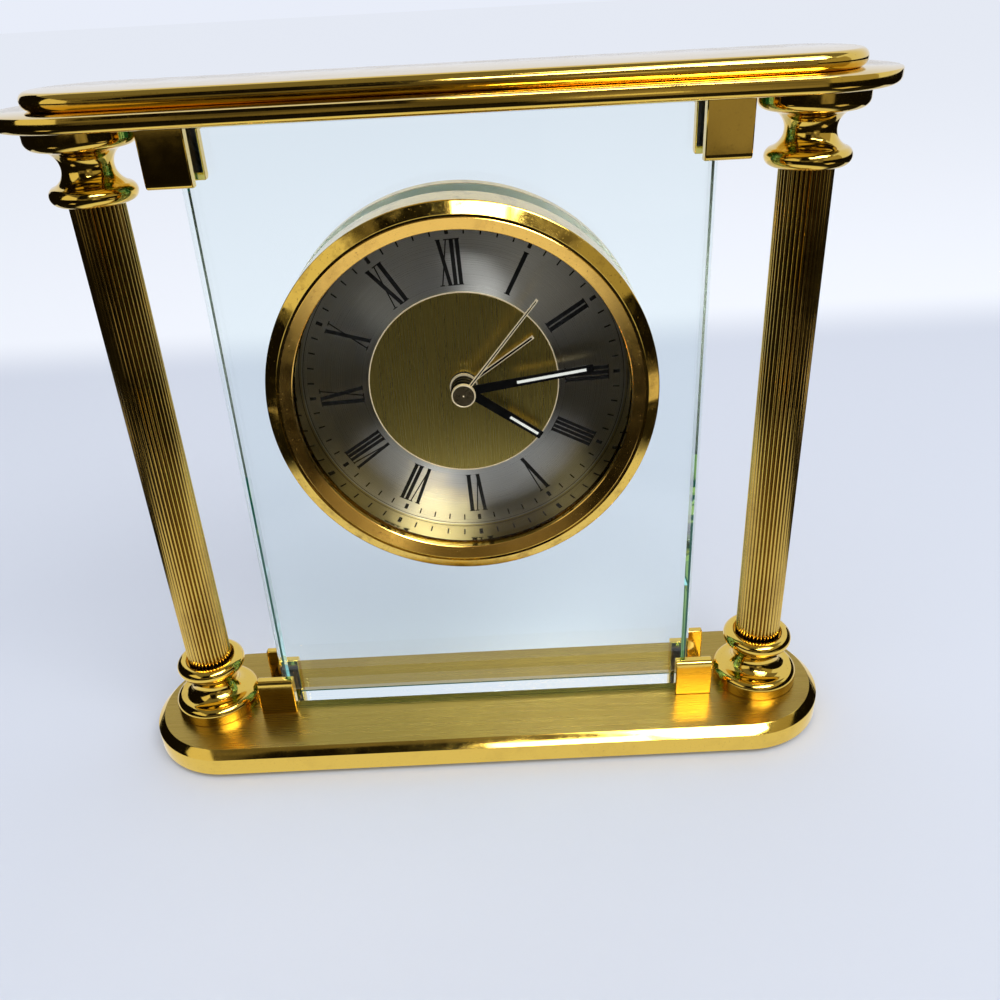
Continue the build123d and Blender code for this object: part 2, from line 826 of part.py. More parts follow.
def coil():
    middle = stator_bottom() + stator_thickness / 2
    body = Rot(0, 90, 0) * Cylinder(coil_radius, coil_length)
    body -= Box(coil_length, core_section, stator_thickness)
    return clock * Pos(rotor_place[0], rotor_place[1] + coil_lift, middle) * body


def circuit_board():
    high = stator_bottom() + stator_thickness
    return clock * prism(Pos(*board_place) * Rectangle(*board_size), high - board_thickness, high)


def quartz_crystal():
    height = stator_bottom() + stator_thickness - board_thickness - crystal_radius
    place = Pos(board_place[0], board_place[1] + crystal_rise, height) * Rot(0, 90, 0)
    return clock * place * Cylinder(crystal_radius, crystal_length)


def alarm_buzzer():
    return clock * disc(buzzer_radius, cover_inner, cover_inner + buzzer_thickness, buzzer_place)


def battery():
    place = Pos(0, -battery_drop, battery_axis_height()) * Rot(0, 90, 0)
    return clock * place * Cylinder(battery_radius, battery_length)


def battery_contact(side):
    low = battery_axis_height() - contact_height / 2
    x = side * (battery_length + contact_thickness) / 2
    leaf = Pos(x, -battery_drop) * Rectangle(contact_thickness, contact_height)
    return clock * prism(leaf, low, plate_rear)


# Rear cover: a moulded cup with a flange on the drum, holes for the knobs, the switch and the battery
def rear_cover():
    cover = ring(cover_radius, cover_bore, cover_inner, plate_rear) + disc(cover_radius, cover_outer, cover_inner)
    cover = fillet(cover.edges().group_by(Axis.Z)[0], min(cover_edge_round, 0.9 * cover_wall))
    cover += ring(cover_flange_radius, cover_bore, drum_rear - cover_flange_thickness, drum_rear)
    for place in cover_screw_places():
        hole = cover_screw_radius + fit_clearance
        cover -= disc(hole, drum_rear - cover_flange_thickness, drum_rear, place)
    for place in (time_knob_place, alarm_knob_place):
        cover -= disc(shaft_radius + running_clearance, cover_outer, cover_inner, place)
    slot = Rectangle(switch_slot_length(), switch_tab_width + 2 * switch_clearance)
    cover -= prism(Pos(0, switch_height) * slot, cover_outer, cover_inner)
    hatch = Rectangle(door_length + 2 * door_clearance, door_height + 2 * door_clearance)
    cover -= prism(Pos(0, -battery_drop) * hatch, cover_outer, cover_inner)
    cover -= disc(sound_hole_radius, cover_outer, cover_inner, buzzer_place)
    for hole in range(sound_hole_count):
        place = polar(sound_hole_circle, hole * 360 / sound_hole_count, buzzer_place)
        cover -= disc(sound_hole_radius, cover_outer, cover_inner, place)
    return clock * cover


def cover_screws():
    seat = drum_rear - cover_flange_thickness
    length = cover_flange_thickness + cover_screw_length
    body = screw(cover_screw_radius, length, cover_screw_head_radius, cover_screw_head_height, seat)
    return Compound(children=[clock * Pos(*place) * body for place in cover_screw_places()])


def battery_door():
    door = prism(Rectangle(door_length, door_height), cover_outer, cover_inner)
    for rib in (-1, 0, 1):
        bar = Pos(0, rib * door_rib_pitch) * Rectangle(door_length / 4, door_rib_width)
        door += prism(bar, cover_outer - door_rib_height, cover_outer)
    return clock * Pos(0, -battery_drop) * door


def switch_slot_length():
    return switch_tab_length + switch_travel + 2 * switch_clearance


def alarm_switch():
    margin = 2 * switch_plate_margin
    tab = Rectangle(switch_tab_length, switch_tab_width)
    plate = Rectangle(switch_slot_length() + switch_travel + margin, switch_tab_width + margin)
    body = prism(tab, cover_outer - switch_rise, cover_inner + fit_clearance)
    low = cover_inner + fit_clearance
    body += prism(plate, low, low + switch_plate_thickness)
    return clock * Pos(-switch_travel / 2, switch_height) * body


pieces = {
    "base_plate": base_plate(),
    "base_felt": base_felt(),
    "cornice_plate": cornice_plate(),
    "cornice_cap": cornice_cap(),
    "clip_screws": clip_screws(),
    "clip_pads": clip_pads(),
    "glass_panel": glass_panel(),
    "front_gasket": front_gasket(),
    "rear_gasket": rear_gasket(),
    "bezel": bezel(),
    "lens": lens(),
    "case_drum": case_drum(),
    "retaining_ring": retaining_ring(),
    "dial_plate": dial_plate(),
    "dial_centre": dial_centre(),
    "alarm_hand": hand(ALARM_HAND, pipe_radii(2)[1], alarm_hand_reach, alarm_hand_width, alarm_hand_angle),
    "hour_hand": hand(HOUR_HAND, pipe_radii(1)[1], hour_hand_reach, hour_hand_width, hour_hand_angle),
    "minute_hand": hand(MINUTE_HAND, pipe_radii(0)[1], minute_hand_reach, minute_hand_width, minute_hand_angle),
    "second_hand": hand(SECOND_HAND, second_arbor_radius, second_hand_reach, second_hand_width, second_hand_angle),
    "second_hand_cap": cap_disc(),
    "alarm_wheel": alarm_wheel(),
    "hour_wheel": hour_wheel(),
    "cannon_pinion": cannon_pinion(),
    "minute_wheel": minute_wheel(),
    "centre_wheel": centre_wheel(),
    "third_wheel": third_wheel(),
    "second_wheel": second_wheel(),
    "intermediate_wheel": intermediate_wheel(),
    "rotor": rotor(),
    "stator": stator(),
    "coil": coil(),
    "front_plate": front_plate(),
    "rear_plate": rear_plate(),
    "pillar_screws": pillar_screws(),
    "circuit_board": circuit_board(),
    "quartz_crystal": quartz_crystal(),
    "alarm_buzzer": alarm_buzzer(),
    "battery": battery(),
    "battery_contact_positive": battery_contact(1),
    "battery_contact_negative": battery_contact(-1),
    "battery_door": battery_door(),
    "rear_cover": rear_cover(),
    "cover_screws": cover_screws(),
    "time_set_knob": time_set_knob(),
    "alarm_set_knob": alarm_set_knob(),
    "alarm_switch": alarm_switch(),
}
for side_name, side in (("left", -1), ("right", 1)):
    pieces["column_foot_" + side_name] = column_foot(side)
    pieces["column_tube_" + side_name] = column_tube(side)
    pieces["column_capital_" + side_name] = column_capital(side)
    pieces["tie_rod_" + side_name] = tie_rod(side)
    pieces["glass_clip_upper_" + side_name] = glass_clip(side, True)
    pieces["glass_clip_lower_" + side_name] = glass_clip(side, False)

for name, piece in pieces.items():
    export_step(piece, "parts/" + name + ".step")
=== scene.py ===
import math

import bmesh
import bpy
from mathutils import Matrix, Vector


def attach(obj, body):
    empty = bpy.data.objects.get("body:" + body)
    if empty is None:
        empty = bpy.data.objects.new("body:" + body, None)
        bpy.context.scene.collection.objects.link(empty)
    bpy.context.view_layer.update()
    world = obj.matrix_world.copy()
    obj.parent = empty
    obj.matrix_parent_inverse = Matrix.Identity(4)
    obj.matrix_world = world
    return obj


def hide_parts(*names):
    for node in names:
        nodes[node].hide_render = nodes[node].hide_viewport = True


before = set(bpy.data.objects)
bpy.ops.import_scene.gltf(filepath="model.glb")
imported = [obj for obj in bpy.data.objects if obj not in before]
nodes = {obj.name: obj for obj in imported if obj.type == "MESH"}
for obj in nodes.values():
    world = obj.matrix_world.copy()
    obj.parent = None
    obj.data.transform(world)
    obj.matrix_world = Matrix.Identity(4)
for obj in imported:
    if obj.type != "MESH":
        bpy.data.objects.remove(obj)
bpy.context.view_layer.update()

# Base: a solid brass plate with half-round ends, its top brushed along its length and lacquered.
# A polished bevel runs round the top, and every other piece of the case is screwed down to it.
mm = 0.001


def stadium(length, depth, inset, z, end_steps=48):
    """The outline of a plate with half-round ends, drawn in by an inset, in millimetres."""
    radius = depth / 2 - inset
    straight = length / 2 - depth / 2
    ring = []
    for side, start in ((1, -90), (-1, 90)):
        for step in range(end_steps + 1):
            turn = math.radians(start + 180 * step / end_steps)
            ring.append(Vector((side * straight + radius * math.cos(turn), radius * math.sin(turn), z)))
    return ring


def skin(loops, closed=False):
    """Joins rings of equal count into one closed surface, with the ends capped or joined."""
    count = len(loops[0])
    points = [p for ring in loops for p in ring]
    faces = []
    rows = len(loops)
    for row in range(rows if closed else rows - 1):
        low = row * count
        high = ((row + 1) % rows) * count
        for column in range(count):
            beside = (column + 1) % count
            faces.append((low + column, low + beside, high + beside, high + column))
    if not closed:
        faces.append(tuple(reversed(range(count))))
        faces.append(tuple(range((rows - 1) * count, rows * count)))
    return points, faces


def plate(length, depth, rim):
    """A plate with half-round ends, whose rim is given as insets and heights."""
    return skin([stadium(length, depth, inset, z) for inset, z in rim])


def placed(name, mesh, stands_for, body, sharp, bevel=0.0):
    """Shades a mesh, makes it a piece of the object with eased edges and lets it ride on its body."""
    mesh.shade_smooth()
    mesh.set_sharp_from_angle(angle=math.radians(sharp))
    piece = bpy.data.objects.new(name, mesh)
    bpy.context.scene.collection.objects.link(piece)
    if bevel:
        edge = piece.modifiers.new("eased_edges", "BEVEL")
        edge.width = bevel * mm
        edge.segments = 2
        edge.limit_method = "ANGLE"
        edge.angle_limit = math.radians(40)
    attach(piece, body)
    if stands_for:
        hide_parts(stands_for)
    return piece


def finished(name, shape, material, stands_for="", body="frame", sharp=32, bevel=0.0):
    """Makes one piece of the object from points in millimetres and their faces."""
    points, faces = shape
    mesh = bpy.data.meshes.new(name)
    mesh.from_pydata([p * mm for p in points], [], faces)
    work = bmesh.new()
    work.from_mesh(mesh)
    bmesh.ops.remove_doubles(work, verts=work.verts, dist=1e-7)
    bmesh.ops.recalc_face_normals(work, faces=work.faces)
    work.to_mesh(mesh)
    work.free()
    mesh.materials.append(material)
    return placed(name, mesh, stands_for, body, sharp, bevel)


def refinish(piece, material, chosen):
    """Gives the chosen faces of a piece a second material."""
    piece.data.materials.append(material)
    for face in piece.data.polygons:
        if chosen(face):
            face.material_index = 1


def set_sockets(tree, node, sockets):
    """Sets inputs, by name or as n with a number, to values or to outputs of other nodes."""
    for key, value in sockets.items():
        name = key.replace("_", " ")
        numbered = name[0] == "n" and name[1:].isdigit()
        target = node.inputs[int(name[1:])] if numbered else node.inputs[name]
        if isinstance(value, bpy.types.NodeSocket):
            tree.links.new(value, target)
        else:
            target.default_value = value


def add_node(tree, kind, settings=None, **sockets):
    """A new node with its settings made and its inputs set."""
    node = tree.nodes.new(kind)
    for key, value in (settings or {}).items():
        setattr(node, key, value)
    set_sockets(tree, node, sockets)
    return node


def own_place(tree):
    """The place of a point on the object, in metres."""
    return add_node(tree, "ShaderNodeTexCoord").outputs["Object"]


def noise(tree, place, scale, detail, roughness=0.5):
    """A cloudy value over the surface."""
    look = {"Scale": scale, "Detail": detail, "Roughness": roughness}
    return add_node(tree, "ShaderNodeTexNoise", Vector=place, **look).outputs["Fac"]


def ranged(tree, value, low, high, start, end, how="LINEAR"):
    """A value carried from between low and high to between start and end."""
    ends = {"n1": low, "n2": high, "n3": start, "n4": end}
    return add_node(tree, "ShaderNodeMapRange", {"interpolation_type": how}, Value=value, **ends).outputs[0]


def worked(tree, operation, *values, clamp=False):
    """The result of a sum on values or outputs of other nodes."""
    inputs = {"n" + str(number): value for number, value in enumerate(values)}
    return add_node(tree, "ShaderNodeMath", {"operation": operation, "use_clamp": clamp}, **inputs).outputs[0]


def vector_worked(tree, operation, *values, output=0):
    """The result of a sum on vectors or outputs of other nodes."""
    inputs = {"n" + str(number): value for number, value in enumerate(values)}
    return add_node(tree, "ShaderNodeVectorMath", {"operation": operation}, **inputs).outputs[output]


def blend(tree, share, first, second):
    """A colour between two others."""
    return add_node(tree, "ShaderNodeMix", {"data_type": "RGBA"}, n0=share, n6=first, n7=second).outputs[2]


def relief(tree, height, strength, distance):
    """The normal of a surface with a fine relief."""
    bump = add_node(tree, "ShaderNodeBump", Strength=strength, Distance=distance, Height=height)
    return bump.outputs["Normal"]


def node_group(name, inputs, outputs, kind="ShaderNodeTree"):
    """An empty node group with named sockets; an input may come with its usual value."""
    group = bpy.data.node_groups.new(name, kind)
    for label, socket_kind, *usual in inputs:
        socket = group.interface.new_socket(label, in_out="INPUT", socket_type="NodeSocket" + socket_kind)
        if usual:
            socket.default_value = usual[0]
    for label, socket_kind in outputs:
        group.interface.new_socket(label, in_out="OUTPUT", socket_type="NodeSocket" + socket_kind)
    return group, group.nodes.new("NodeGroupInput").outputs, group.nodes.new("NodeGroupOutput").inputs


def grouped(tree, group, **values):
    """The outputs of a node group that is placed in a material with its own values."""
    return add_node(tree, "ShaderNodeGroup", {"node_tree": group}, **values).outputs


def new_material(name):
    """A new material and its nodes."""
    material = bpy.data.materials.new(name)
    material.use_nodes = True
    return material, material.node_tree


def surface(tree, **sockets):
    """Sets the inputs of a material's own shader."""
    set_sockets(tree, tree.nodes["Principled BSDF"], sockets)


# Tarnish under old lacquer: cloudy brown patches, fine specks and faint rub marks
tarnish, given, result = node_group(
    "tarnish_under_lacquer",
    [("Metal", "Color", (0.8, 0.6, 0.25, 1)), ("Tarnish", "Color", (0.3, 0.16, 0.05, 1)),
     ("Patches", "Float", 0.3), ("Specks", "Float", 0.4), ("Polish", "Float", 0.12), ("Size", "Float", 60.0)],
    [("Color", "Color"), ("Roughness", "Float"), ("Height", "Float")],
)
place = own_place(tarnish)
patches = ranged(tarnish, noise(tarnish, place, given["Size"], 6.0, 0.62), 0.5, 0.78, 0.0, 1.0)
grit = noise(tarnish, place, 1900.0, 3.0, 0.6)
specks = ranged(tarnish, grit, 0.63, 0.72, 0.0, 1.0)
patch_share = worked(tarnish, "MULTIPLY", patches, given["Patches"])
speck_share = worked(tarnish, "MULTIPLY", specks, given["Specks"])
stained = worked(tarnish, "ADD", patch_share, speck_share, clamp=True)
rubbed = ranged(tarnish, noise(tarnish, place, 240.0, 8.0, 0.7), 0.35, 0.75, 0.0, 0.09)
worn = worked(tarnish, "ADD", rubbed, given["Polish"])
tarnish.links.new(blend(tarnish, stained, given["Metal"], given["Tarnish"]), result["Color"])
tarnish.links.new(worked(tarnish, "MULTIPLY_ADD", stained, 0.3, worn), result["Roughness"])
tarnish.links.new(grit, result["Height"])

# Brushing: long fine lines along one direction, in brightness and in height
brushing, given, result = node_group(
    "brushed_lines",
    [("Lines", "Vector", (20.0, 1500.0, 1500.0)), ("Light", "Color", (0.8, 0.6, 0.25, 1)),
     ("Dark", "Color", (0.6, 0.42, 0.15, 1))],
    [("Color", "Color"), ("Roughness", "Float"), ("Height", "Float")],
)
drawn = vector_worked(brushing, "MULTIPLY", own_place(brushing), given["Lines"])
line = noise(brushing, drawn, 1.0, 4.0, 0.65)
bright = ranged(brushing, line, 0.3, 0.7, 0.0, 1.0)
brushing.links.new(blend(brushing, bright, given["Dark"], given["Light"]), result["Color"])
brushing.links.new(ranged(brushing, bright, 0.0, 1.0, 0.34, 0.24), result["Roughness"])
brushing.links.new(line, result["Height"])


def tarnished(name, stain, grit_relief=0.0, **sockets):
    """A metal whose colour and polish come from the tarnish group, with its own values for it."""
    material, tree = new_material(name)
    stained = grouped(tree, tarnish, **stain)
    surface(tree, Base_Color=stained["Color"], Roughness=stained["Roughness"], **sockets)
    if grit_relief:
        surface(tree, Normal=relief(tree, stained["Height"], grit_relief, 0.0001))
    return material


base_brass, tree = new_material("brushed_base_brass")
base_tones = {"Light": (0.455, 0.315, 0.063, 1), "Dark": (0.37, 0.245, 0.042, 1)}
lines = grouped(tree, brushing, Lines=(14.0, 2600.0, 2600.0), **base_tones)
base_stain = {"Tarnish": (0.20, 0.10, 0.02, 1), "Patches": 0.35, "Specks": 0.25, "Size": 38.0}
base_colour = grouped(tree, tarnish, Metal=lines["Color"], **base_stain)["Color"]
surface(tree, Metallic=1.0, Anisotropic=0.5, Coat_Weight=0.15, Coat_Roughness=0.12, Base_Color=base_colour,
        Roughness=lines["Roughness"], Normal=relief(tree, lines["Height"], 0.12, 0.0002))
polished_stain = {"Metal": (0.80, 0.54, 0.095, 1), "Tarnish": (0.26, 0.12, 0.02, 1),
                  "Patches": 0.22, "Specks": 0.3, "Polish": 0.05, "Size": 90.0}
polished_brass = tarnished("polished_brass", polished_stain, 0.015,
                           Metallic=1.0, Coat_Weight=0.2, Coat_Roughness=0.04)

base_length, base_depth, base_top = 182.0, 44.0, 8.2
felt_thickness = 1.2
bevel_foot, bevel_reach = 6.1, 2.05
base_rim = [
    (0.25, felt_thickness), (0.0, felt_thickness + 0.25), (0.0, bevel_foot), (0.05, bevel_foot + 0.15),
    (bevel_reach - 0.15, base_top - 0.1), (bevel_reach, base_top),
]
base_shape = plate(base_length, base_depth, base_rim)
base_piece = finished("base_plate_brushed", base_shape, base_brass, "base_plate", sharp=20)
refinish(base_piece, polished_brass, lambda face: abs(face.normal.z) < 0.95)

# Felt: a thin green sheet glued under the base, a little smaller than the plate.
# Its cut edge shows a short pile.


def mottled(name, dark, light, scale, detail, grain=0.5, raised=None, glow=0.0, **sockets):
    """A plain material in two tones, mixed by a fine grain that may be raised or glow."""
    material, tree = new_material(name)
    grains = noise(tree, own_place(tree), scale, detail, grain)
    tone = blend(tree, grains, dark, light)
    surface(tree, Base_Color=tone, **sockets)
    if raised:
        surface(tree, Normal=relief(tree, grains, *raised))
    if glow:
        surface(tree, Emission_Color=tone, Emission_Strength=glow)
    return material


felt_green = mottled("green_felt", (0.008, 0.03, 0.012, 1), (0.03, 0.09, 0.04, 1), scale=2600.0, detail=3.0,
                     grain=0.7, raised=(0.7, 0.0003), Roughness=0.95, Sheen_Weight=0.6, Sheen_Roughness=0.5)
felt_margin = 2.0
felt_rim = [
    (felt_margin + 0.15, 0.0), (felt_margin, 0.15), (felt_margin, felt_thickness - 0.15),
    (felt_margin + 0.1, felt_thickness),
]
finished("base_felt_sheet", plate(base_length, base_depth, felt_rim), felt_green, "base_felt")

# Column feet and capitals: one turned brass piece, polished and lacquered.
# It stands at the foot and upside down at the top; flange, cove, bell and bead run into each other,
# and the bead's cup holds the tube.


def turned(profile, place, steps=96):
    """Rings of a lathe profile (radius, height), moved to where the piece stands."""
    turns = [2 * math.pi * step / steps for step in range(steps)]
    return [[place(r * math.cos(t), r * math.sin(t), h) for t in turns] for r, h in profile]


def arc(across, up, radius, start, end, steps=12):
    """Points of a circular arc in a profile, angles in degrees."""
    turns = [math.radians(start + (end - start) * s / steps) for s in range(steps + 1)]
    return [(across + radius * math.cos(t), up + radius * math.sin(t)) for t in turns]


rod_hole = 2.2
flange_radius, flange_round, flange_level = 11.1, 2.0, 2.6
cove_radius = 3.85
cove_reach = flange_radius - flange_round
cove_height = flange_level + flange_round + cove_radius
bead_radius, bead_reach, bead_height, bead_start = 1.95, 6.95, 13.649, 60
cup_radius, cup_floor, cup_edge = 6.3, 12.599, 15.45
foot_height = bead_height + bead_radius
bell_start = (cove_reach - cove_radius, cove_height)
bell_end = arc(bead_reach, bead_height, bead_radius, -bead_start, 90)[0]
bell_run, bell_rise = bell_end[0] - bell_start[0], bell_end[1] - bell_start[1]
bell_radius = (bell_run ** 2 + bell_rise ** 2) / (2 * bell_run)
bell_turn = math.degrees(math.asin(bell_rise / bell_radius))
foot_profile = [(rod_hole, 0.0), (flange_radius - 0.2, 0.0), (flange_radius, 0.2)]
foot_profile += arc(cove_reach, flange_level, flange_round, 0, 90)
foot_profile += arc(cove_reach, cove_height, cove_radius, 270, 180, 16)[1:]
foot_profile += arc(bell_start[0] + bell_radius, bell_start[1], bell_radius, 180, 180 - bell_turn)[1:]
foot_profile += arc(bead_reach, bead_height, bead_radius, -bead_start, 90, 20)[1:]
foot_profile += [(cup_radius + 0.2, foot_height), (cup_radius, cup_edge)]
foot_profile += [(cup_radius, cup_floor), (rod_hole, cup_floor)]
column_x = 74.15
cornice_bottom = 158.8
sides = (("left", -1), ("right", 1))
for side_name, side in sides:
    for part, root, up in (("foot", base_top, 1), ("capital", cornice_bottom, -1)):
        rings = turned(foot_profile, lambda a, b, h: Vector((side * column_x + a, b, root + up * h)))
        finished("turned_" + part + "_" + side_name, skin(rings, True), polished_brass,
                 "column_" + part + "_" + side_name, sharp=40)

# Column tubes: brass tubes drawn with round reeds side by side, with painted shade darkening the valleys
# between them.
# Each stands in the cups of its foot and capital, with the tie rod inside.
reed_brass, tree = new_material("reeded_brass")
stained = grouped(tree, tarnish, Metal=(0.76, 0.52, 0.11, 1), Tarnish=(0.20, 0.09, 0.02, 1), Patches=0.45,
                  Specks=0.35, Polish=0.1, Size=55.0)
valley = add_node(tree, "ShaderNodeAttribute", {"attribute_name": "valley"}).outputs["Fac"]
# Painted shade: the valleys between the reeds are mixed towards a dark brown, standing in for shade in the
# grooves.
reed_colour = blend(tree, valley, stained["Color"], (0.20, 0.115, 0.03, 1))
surface(tree, Metallic=1.0, Coat_Weight=0.2, Coat_Roughness=0.1,
        Base_Color=reed_colour, Roughness=stained["Roughness"])


def reeded_tube_tree():
    """Geometry nodes: a circle drawn in between its reeds, run along the column."""
    sizes = [("Reeds", "Int"), ("Points per reed", "Int"), ("Crest", "Float"), ("Depth", "Float"),
             ("Low", "Vector"), ("High", "Vector"), ("Finish", "Material")]
    group, given, made = node_group("reeded_tube", sizes, [("Geometry", "Geometry")], "GeometryNodeTree")
    count = worked(group, "MULTIPLY", given["Reeds"], given["Points per reed"])
    circle = add_node(group, "GeometryNodeCurvePrimitiveCircle", Resolution=count, Radius=given["Crest"])
    number = add_node(group, "GeometryNodeInputIndex").outputs[0]
    share = worked(group, "FRACT", worked(group, "DIVIDE", number, given["Points per reed"]))
    crown = worked(group, "SINE", worked(group, "MULTIPLY", share, math.pi))
    hollow = worked(group, "SUBTRACT", 1.0, crown)
    drawn_in = worked(group, "MULTIPLY", worked(group, "MULTIPLY", hollow, given["Depth"]), -1.0)
    spot = add_node(group, "GeometryNodeInputPosition").outputs[0]
    outward = vector_worked(group, "NORMALIZE", spot)
    inward = add_node(group, "ShaderNodeVectorMath", {"operation": "SCALE"}, n0=outward, Scale=drawn_in)
    round_line = circle.outputs["Curve"]
    reeded = add_node(group, "GeometryNodeSetPosition", Geometry=round_line, Offset=inward.outputs[0])
    # The hollow share is kept on each point to drive the painted shade in the valleys.
    kept = add_node(group, "GeometryNodeCaptureAttribute", Geometry=reeded.outputs[0])
    kept.capture_items.new("FLOAT", "valley")
    group.links.new(hollow, kept.inputs[1])
    spine = add_node(group, "GeometryNodeCurvePrimitiveLine", Start=given["Low"], End=given["High"])
    swept = add_node(group, "GeometryNodeCurveToMesh", Curve=spine.outputs[0], Profile_Curve=kept.outputs[0],
                     Fill_Caps=True)
    stored = add_node(group, "GeometryNodeStoreNamedAttribute", {"data_type": "FLOAT", "domain": "POINT"},
                      Geometry=swept.outputs[0], Name="valley", Value=kept.outputs[1])
    real = add_node(group, "GeometryNodeRealizeInstances", Geometry=stored.outputs[0])
    painted = add_node(group, "GeometryNodeSetMaterial", Geometry=real.outputs[0], Material=given["Finish"])
    group.links.new(painted.outputs[0], made[0])
    return group


def grown(name, group, values, stands_for=""):
    """Runs a geometry node tree once and keeps its result as a plain mesh piece."""
    holder = bpy.data.objects.new(name + "_holder", bpy.data.meshes.new(name + "_holder"))
    bpy.context.scene.collection.objects.link(holder)
    tool = holder.modifiers.new("tree", "NODES")
    tool.node_group = group
    for item in group.interface.items_tree:
        if item.in_out == "INPUT" and item.name in values:
            tool[item.identifier] = values[item.name]
    made = holder.evaluated_get(bpy.context.evaluated_depsgraph_get())
    mesh = bpy.data.meshes.new_from_object(made)
    holder.modifiers.remove(tool)
    bpy.data.objects.remove(holder)
    mesh.name = name
    return placed(name, mesh, stands_for, "frame", 50)


tube_tree = reeded_tube_tree()
tube_low, tube_high = 20.8, 146.2
reed_sizes = {"Reeds": 36, "Points per reed": 10, "Crest": 5.7 * mm, "Depth": 0.45 * mm, "Finish": reed_brass}
for side_name, side in sides:
    x = side * column_x * mm
    ends = {"Low": (x, 0.0, tube_low * mm), "High": (x, 0.0, tube_high * mm)}
    tube_sizes = {**reed_sizes, **ends}
    grown("reeded_tube_" + side_name, tube_tree, tube_sizes, "column_tube_" + side_name)

# Cornice: a polished brass plate like the base, and on it a smaller cap with a full round edge.
# The tie rods pull both down on the capitals.
cornice_length, cornice_depth, cornice_top = 180.0, 42.0, 161.8
cornice_round = 1.4
cornice_rim = arc(cornice_round, cornice_bottom + cornice_round, cornice_round, 270, 180, 6)
cornice_rim += [(0.0, cornice_top - 0.3), (0.09, cornice_top - 0.09), (0.3, cornice_top)]
cornice_shape = plate(cornice_length, cornice_depth, cornice_rim)
finished("cornice_plate_polished", cornice_shape, polished_brass, "cornice_plate")
cap_length, cap_depth, cap_top = 166.8, 28.8, 165.3
cap_round, cap_half = 1.7, (cap_top - cornice_top) / 2
cap_turns = [math.radians(a) for a in range(-90, 91, 10)]
cap_rim = [(cap_round * (1 - math.cos(a)), cornice_top + cap_half * (1 + math.sin(a))) for a in cap_turns]
cap_shape = plate(cap_length, cap_depth, cap_rim)
finished("cornice_cap_polished", cap_shape, polished_brass, "cornice_cap")

# Glass panel: thick float glass with polished edges and a round hole for the clock, its wall left matt.
# Seen edge on, its body colour gathers to a sea green, and rays caught deep between the edges are given a
# faint painted green glow.
panel_glass, tree = new_material("panel_glass")
body_colour = add_node(tree, "ShaderNodeVolumeAbsorption", Color=(0.28, 0.92, 0.86, 1), Density=9.0)
tree.links.new(body_colour.outputs[0], tree.nodes["Material Output"].inputs["Volume"])
# Painted glow: a surface hit four rays deep gives off a faint sea green, standing in for light caught between
# the edges.
painted_glow_deep_rays = worked(tree, "COMPARE", add_node(tree, "ShaderNodeLightPath").outputs["Ray Depth"], 4.0, 0.4)
surface(tree, Base_Color=(0.985, 0.995, 1.0, 1), Roughness=0.0, IOR=1.5, Transmission_Weight=1.0,
        Emission_Color=(0.012, 0.085, 0.06, 1), Emission_Strength=painted_glow_deep_rays)
ground_glass = mottled("ground_hole_wall", (0.40, 0.38, 0.29, 1), (0.62, 0.60, 0.50, 1),
                       scale=1500.0, detail=3.0, Roughness=0.8)
glass_middle, glass_half = 0.8, 5.0
panel_half, panel_low, panel_high, panel_bevel = 54.8, 9.2, 157.6, 0.7
clock_height = 99.8
hole_radius, hole_bevel = 38.6, 0.2
panel_steps = 256
panel_turns = [2 * math.pi * step / panel_steps for step in range(panel_steps)]


def panel_ring(inset, w):
    """The panel's outline, drawn in by an inset, as points that face the hole's."""
    low, high, half = panel_low + inset - clock_height, panel_high - inset - clock_height, panel_half - inset
    corners = [math.atan2(v, u) % (2 * math.pi) for u in (half, -half) for v in (low, high)]
    turns = list(panel_turns)
    for corner in corners:
        turns[min(range(panel_steps), key=lambda s: abs(turns[s] - corner))] = corner
    ring = []
    for t in turns:
        u, v = math.cos(t), math.sin(t)
        reach = min(half / abs(u) if u else 1e9, (high if v > 0 else -low) / abs(v) if v else 1e9)
        ring.append(Vector((u * reach, glass_middle - w, clock_height + v * reach)))
    return ring


def hole_ring(radius, w):
    """The outline of the hole."""
    flat = [(radius * math.cos(t), radius * math.sin(t)) for t in panel_turns]
    return [Vector((a, glass_middle - w, clock_height + b)) for a, b in flat]


def reach_of(face):
    """How far a face lies from the clock's axis, in millimetres."""
    return math.hypot(face.center.x, face.center.z - clock_height * mm) / mm


rim_half, wall_half = glass_half - panel_bevel, glass_half - hole_bevel
glass_loops = [
    hole_ring(hole_radius + hole_bevel, glass_half), panel_ring(panel_bevel, glass_half),
    panel_ring(0.0, rim_half), panel_ring(0.0, -rim_half),
    panel_ring(panel_bevel, -glass_half), hole_ring(hole_radius + hole_bevel, -glass_half),
    hole_ring(hole_radius, -wall_half), hole_ring(hole_radius, wall_half),
]
glass_piece = finished("glass_panel_polished", skin(glass_loops, True), panel_glass,
                       "glass_panel", sharp=20)
glass_piece.visible_shadow = False
refinish(glass_piece, ground_glass, lambda face: reach_of(face) < hole_radius + 0.15)

# Glass clips: milled brass blocks with a slot, two jaws and rounded free ends, polished on their faces.
# Each is screwed to the base or the cornice, and thin rubber pads lie between jaws and glass.


def eased(corners, steps=3):
    """A profile whose corners (across, up, radius) are rounded by their own radius."""
    profile = []
    count = len(corners)
    for index, (across, up, radius) in enumerate(corners):
        here = Vector((across, up))
        before = Vector(corners[index - 1][:2]) - here
        after = Vector(corners[(index + 1) % count][:2]) - here
        if radius <= 0:
            profile.append((across, up))
            continue
        half = before.angle(after) / 2
        reach = min(radius / math.tan(half), before.length * 0.499, after.length * 0.499)
        start = here + before.normalized() * reach
        end = here + after.normalized() * reach
        for step in range(steps + 1):
            share = step / steps
            point = start.lerp(here, share).lerp(here.lerp(end, share), share)
            profile.append((point.x, point.y))
    return profile


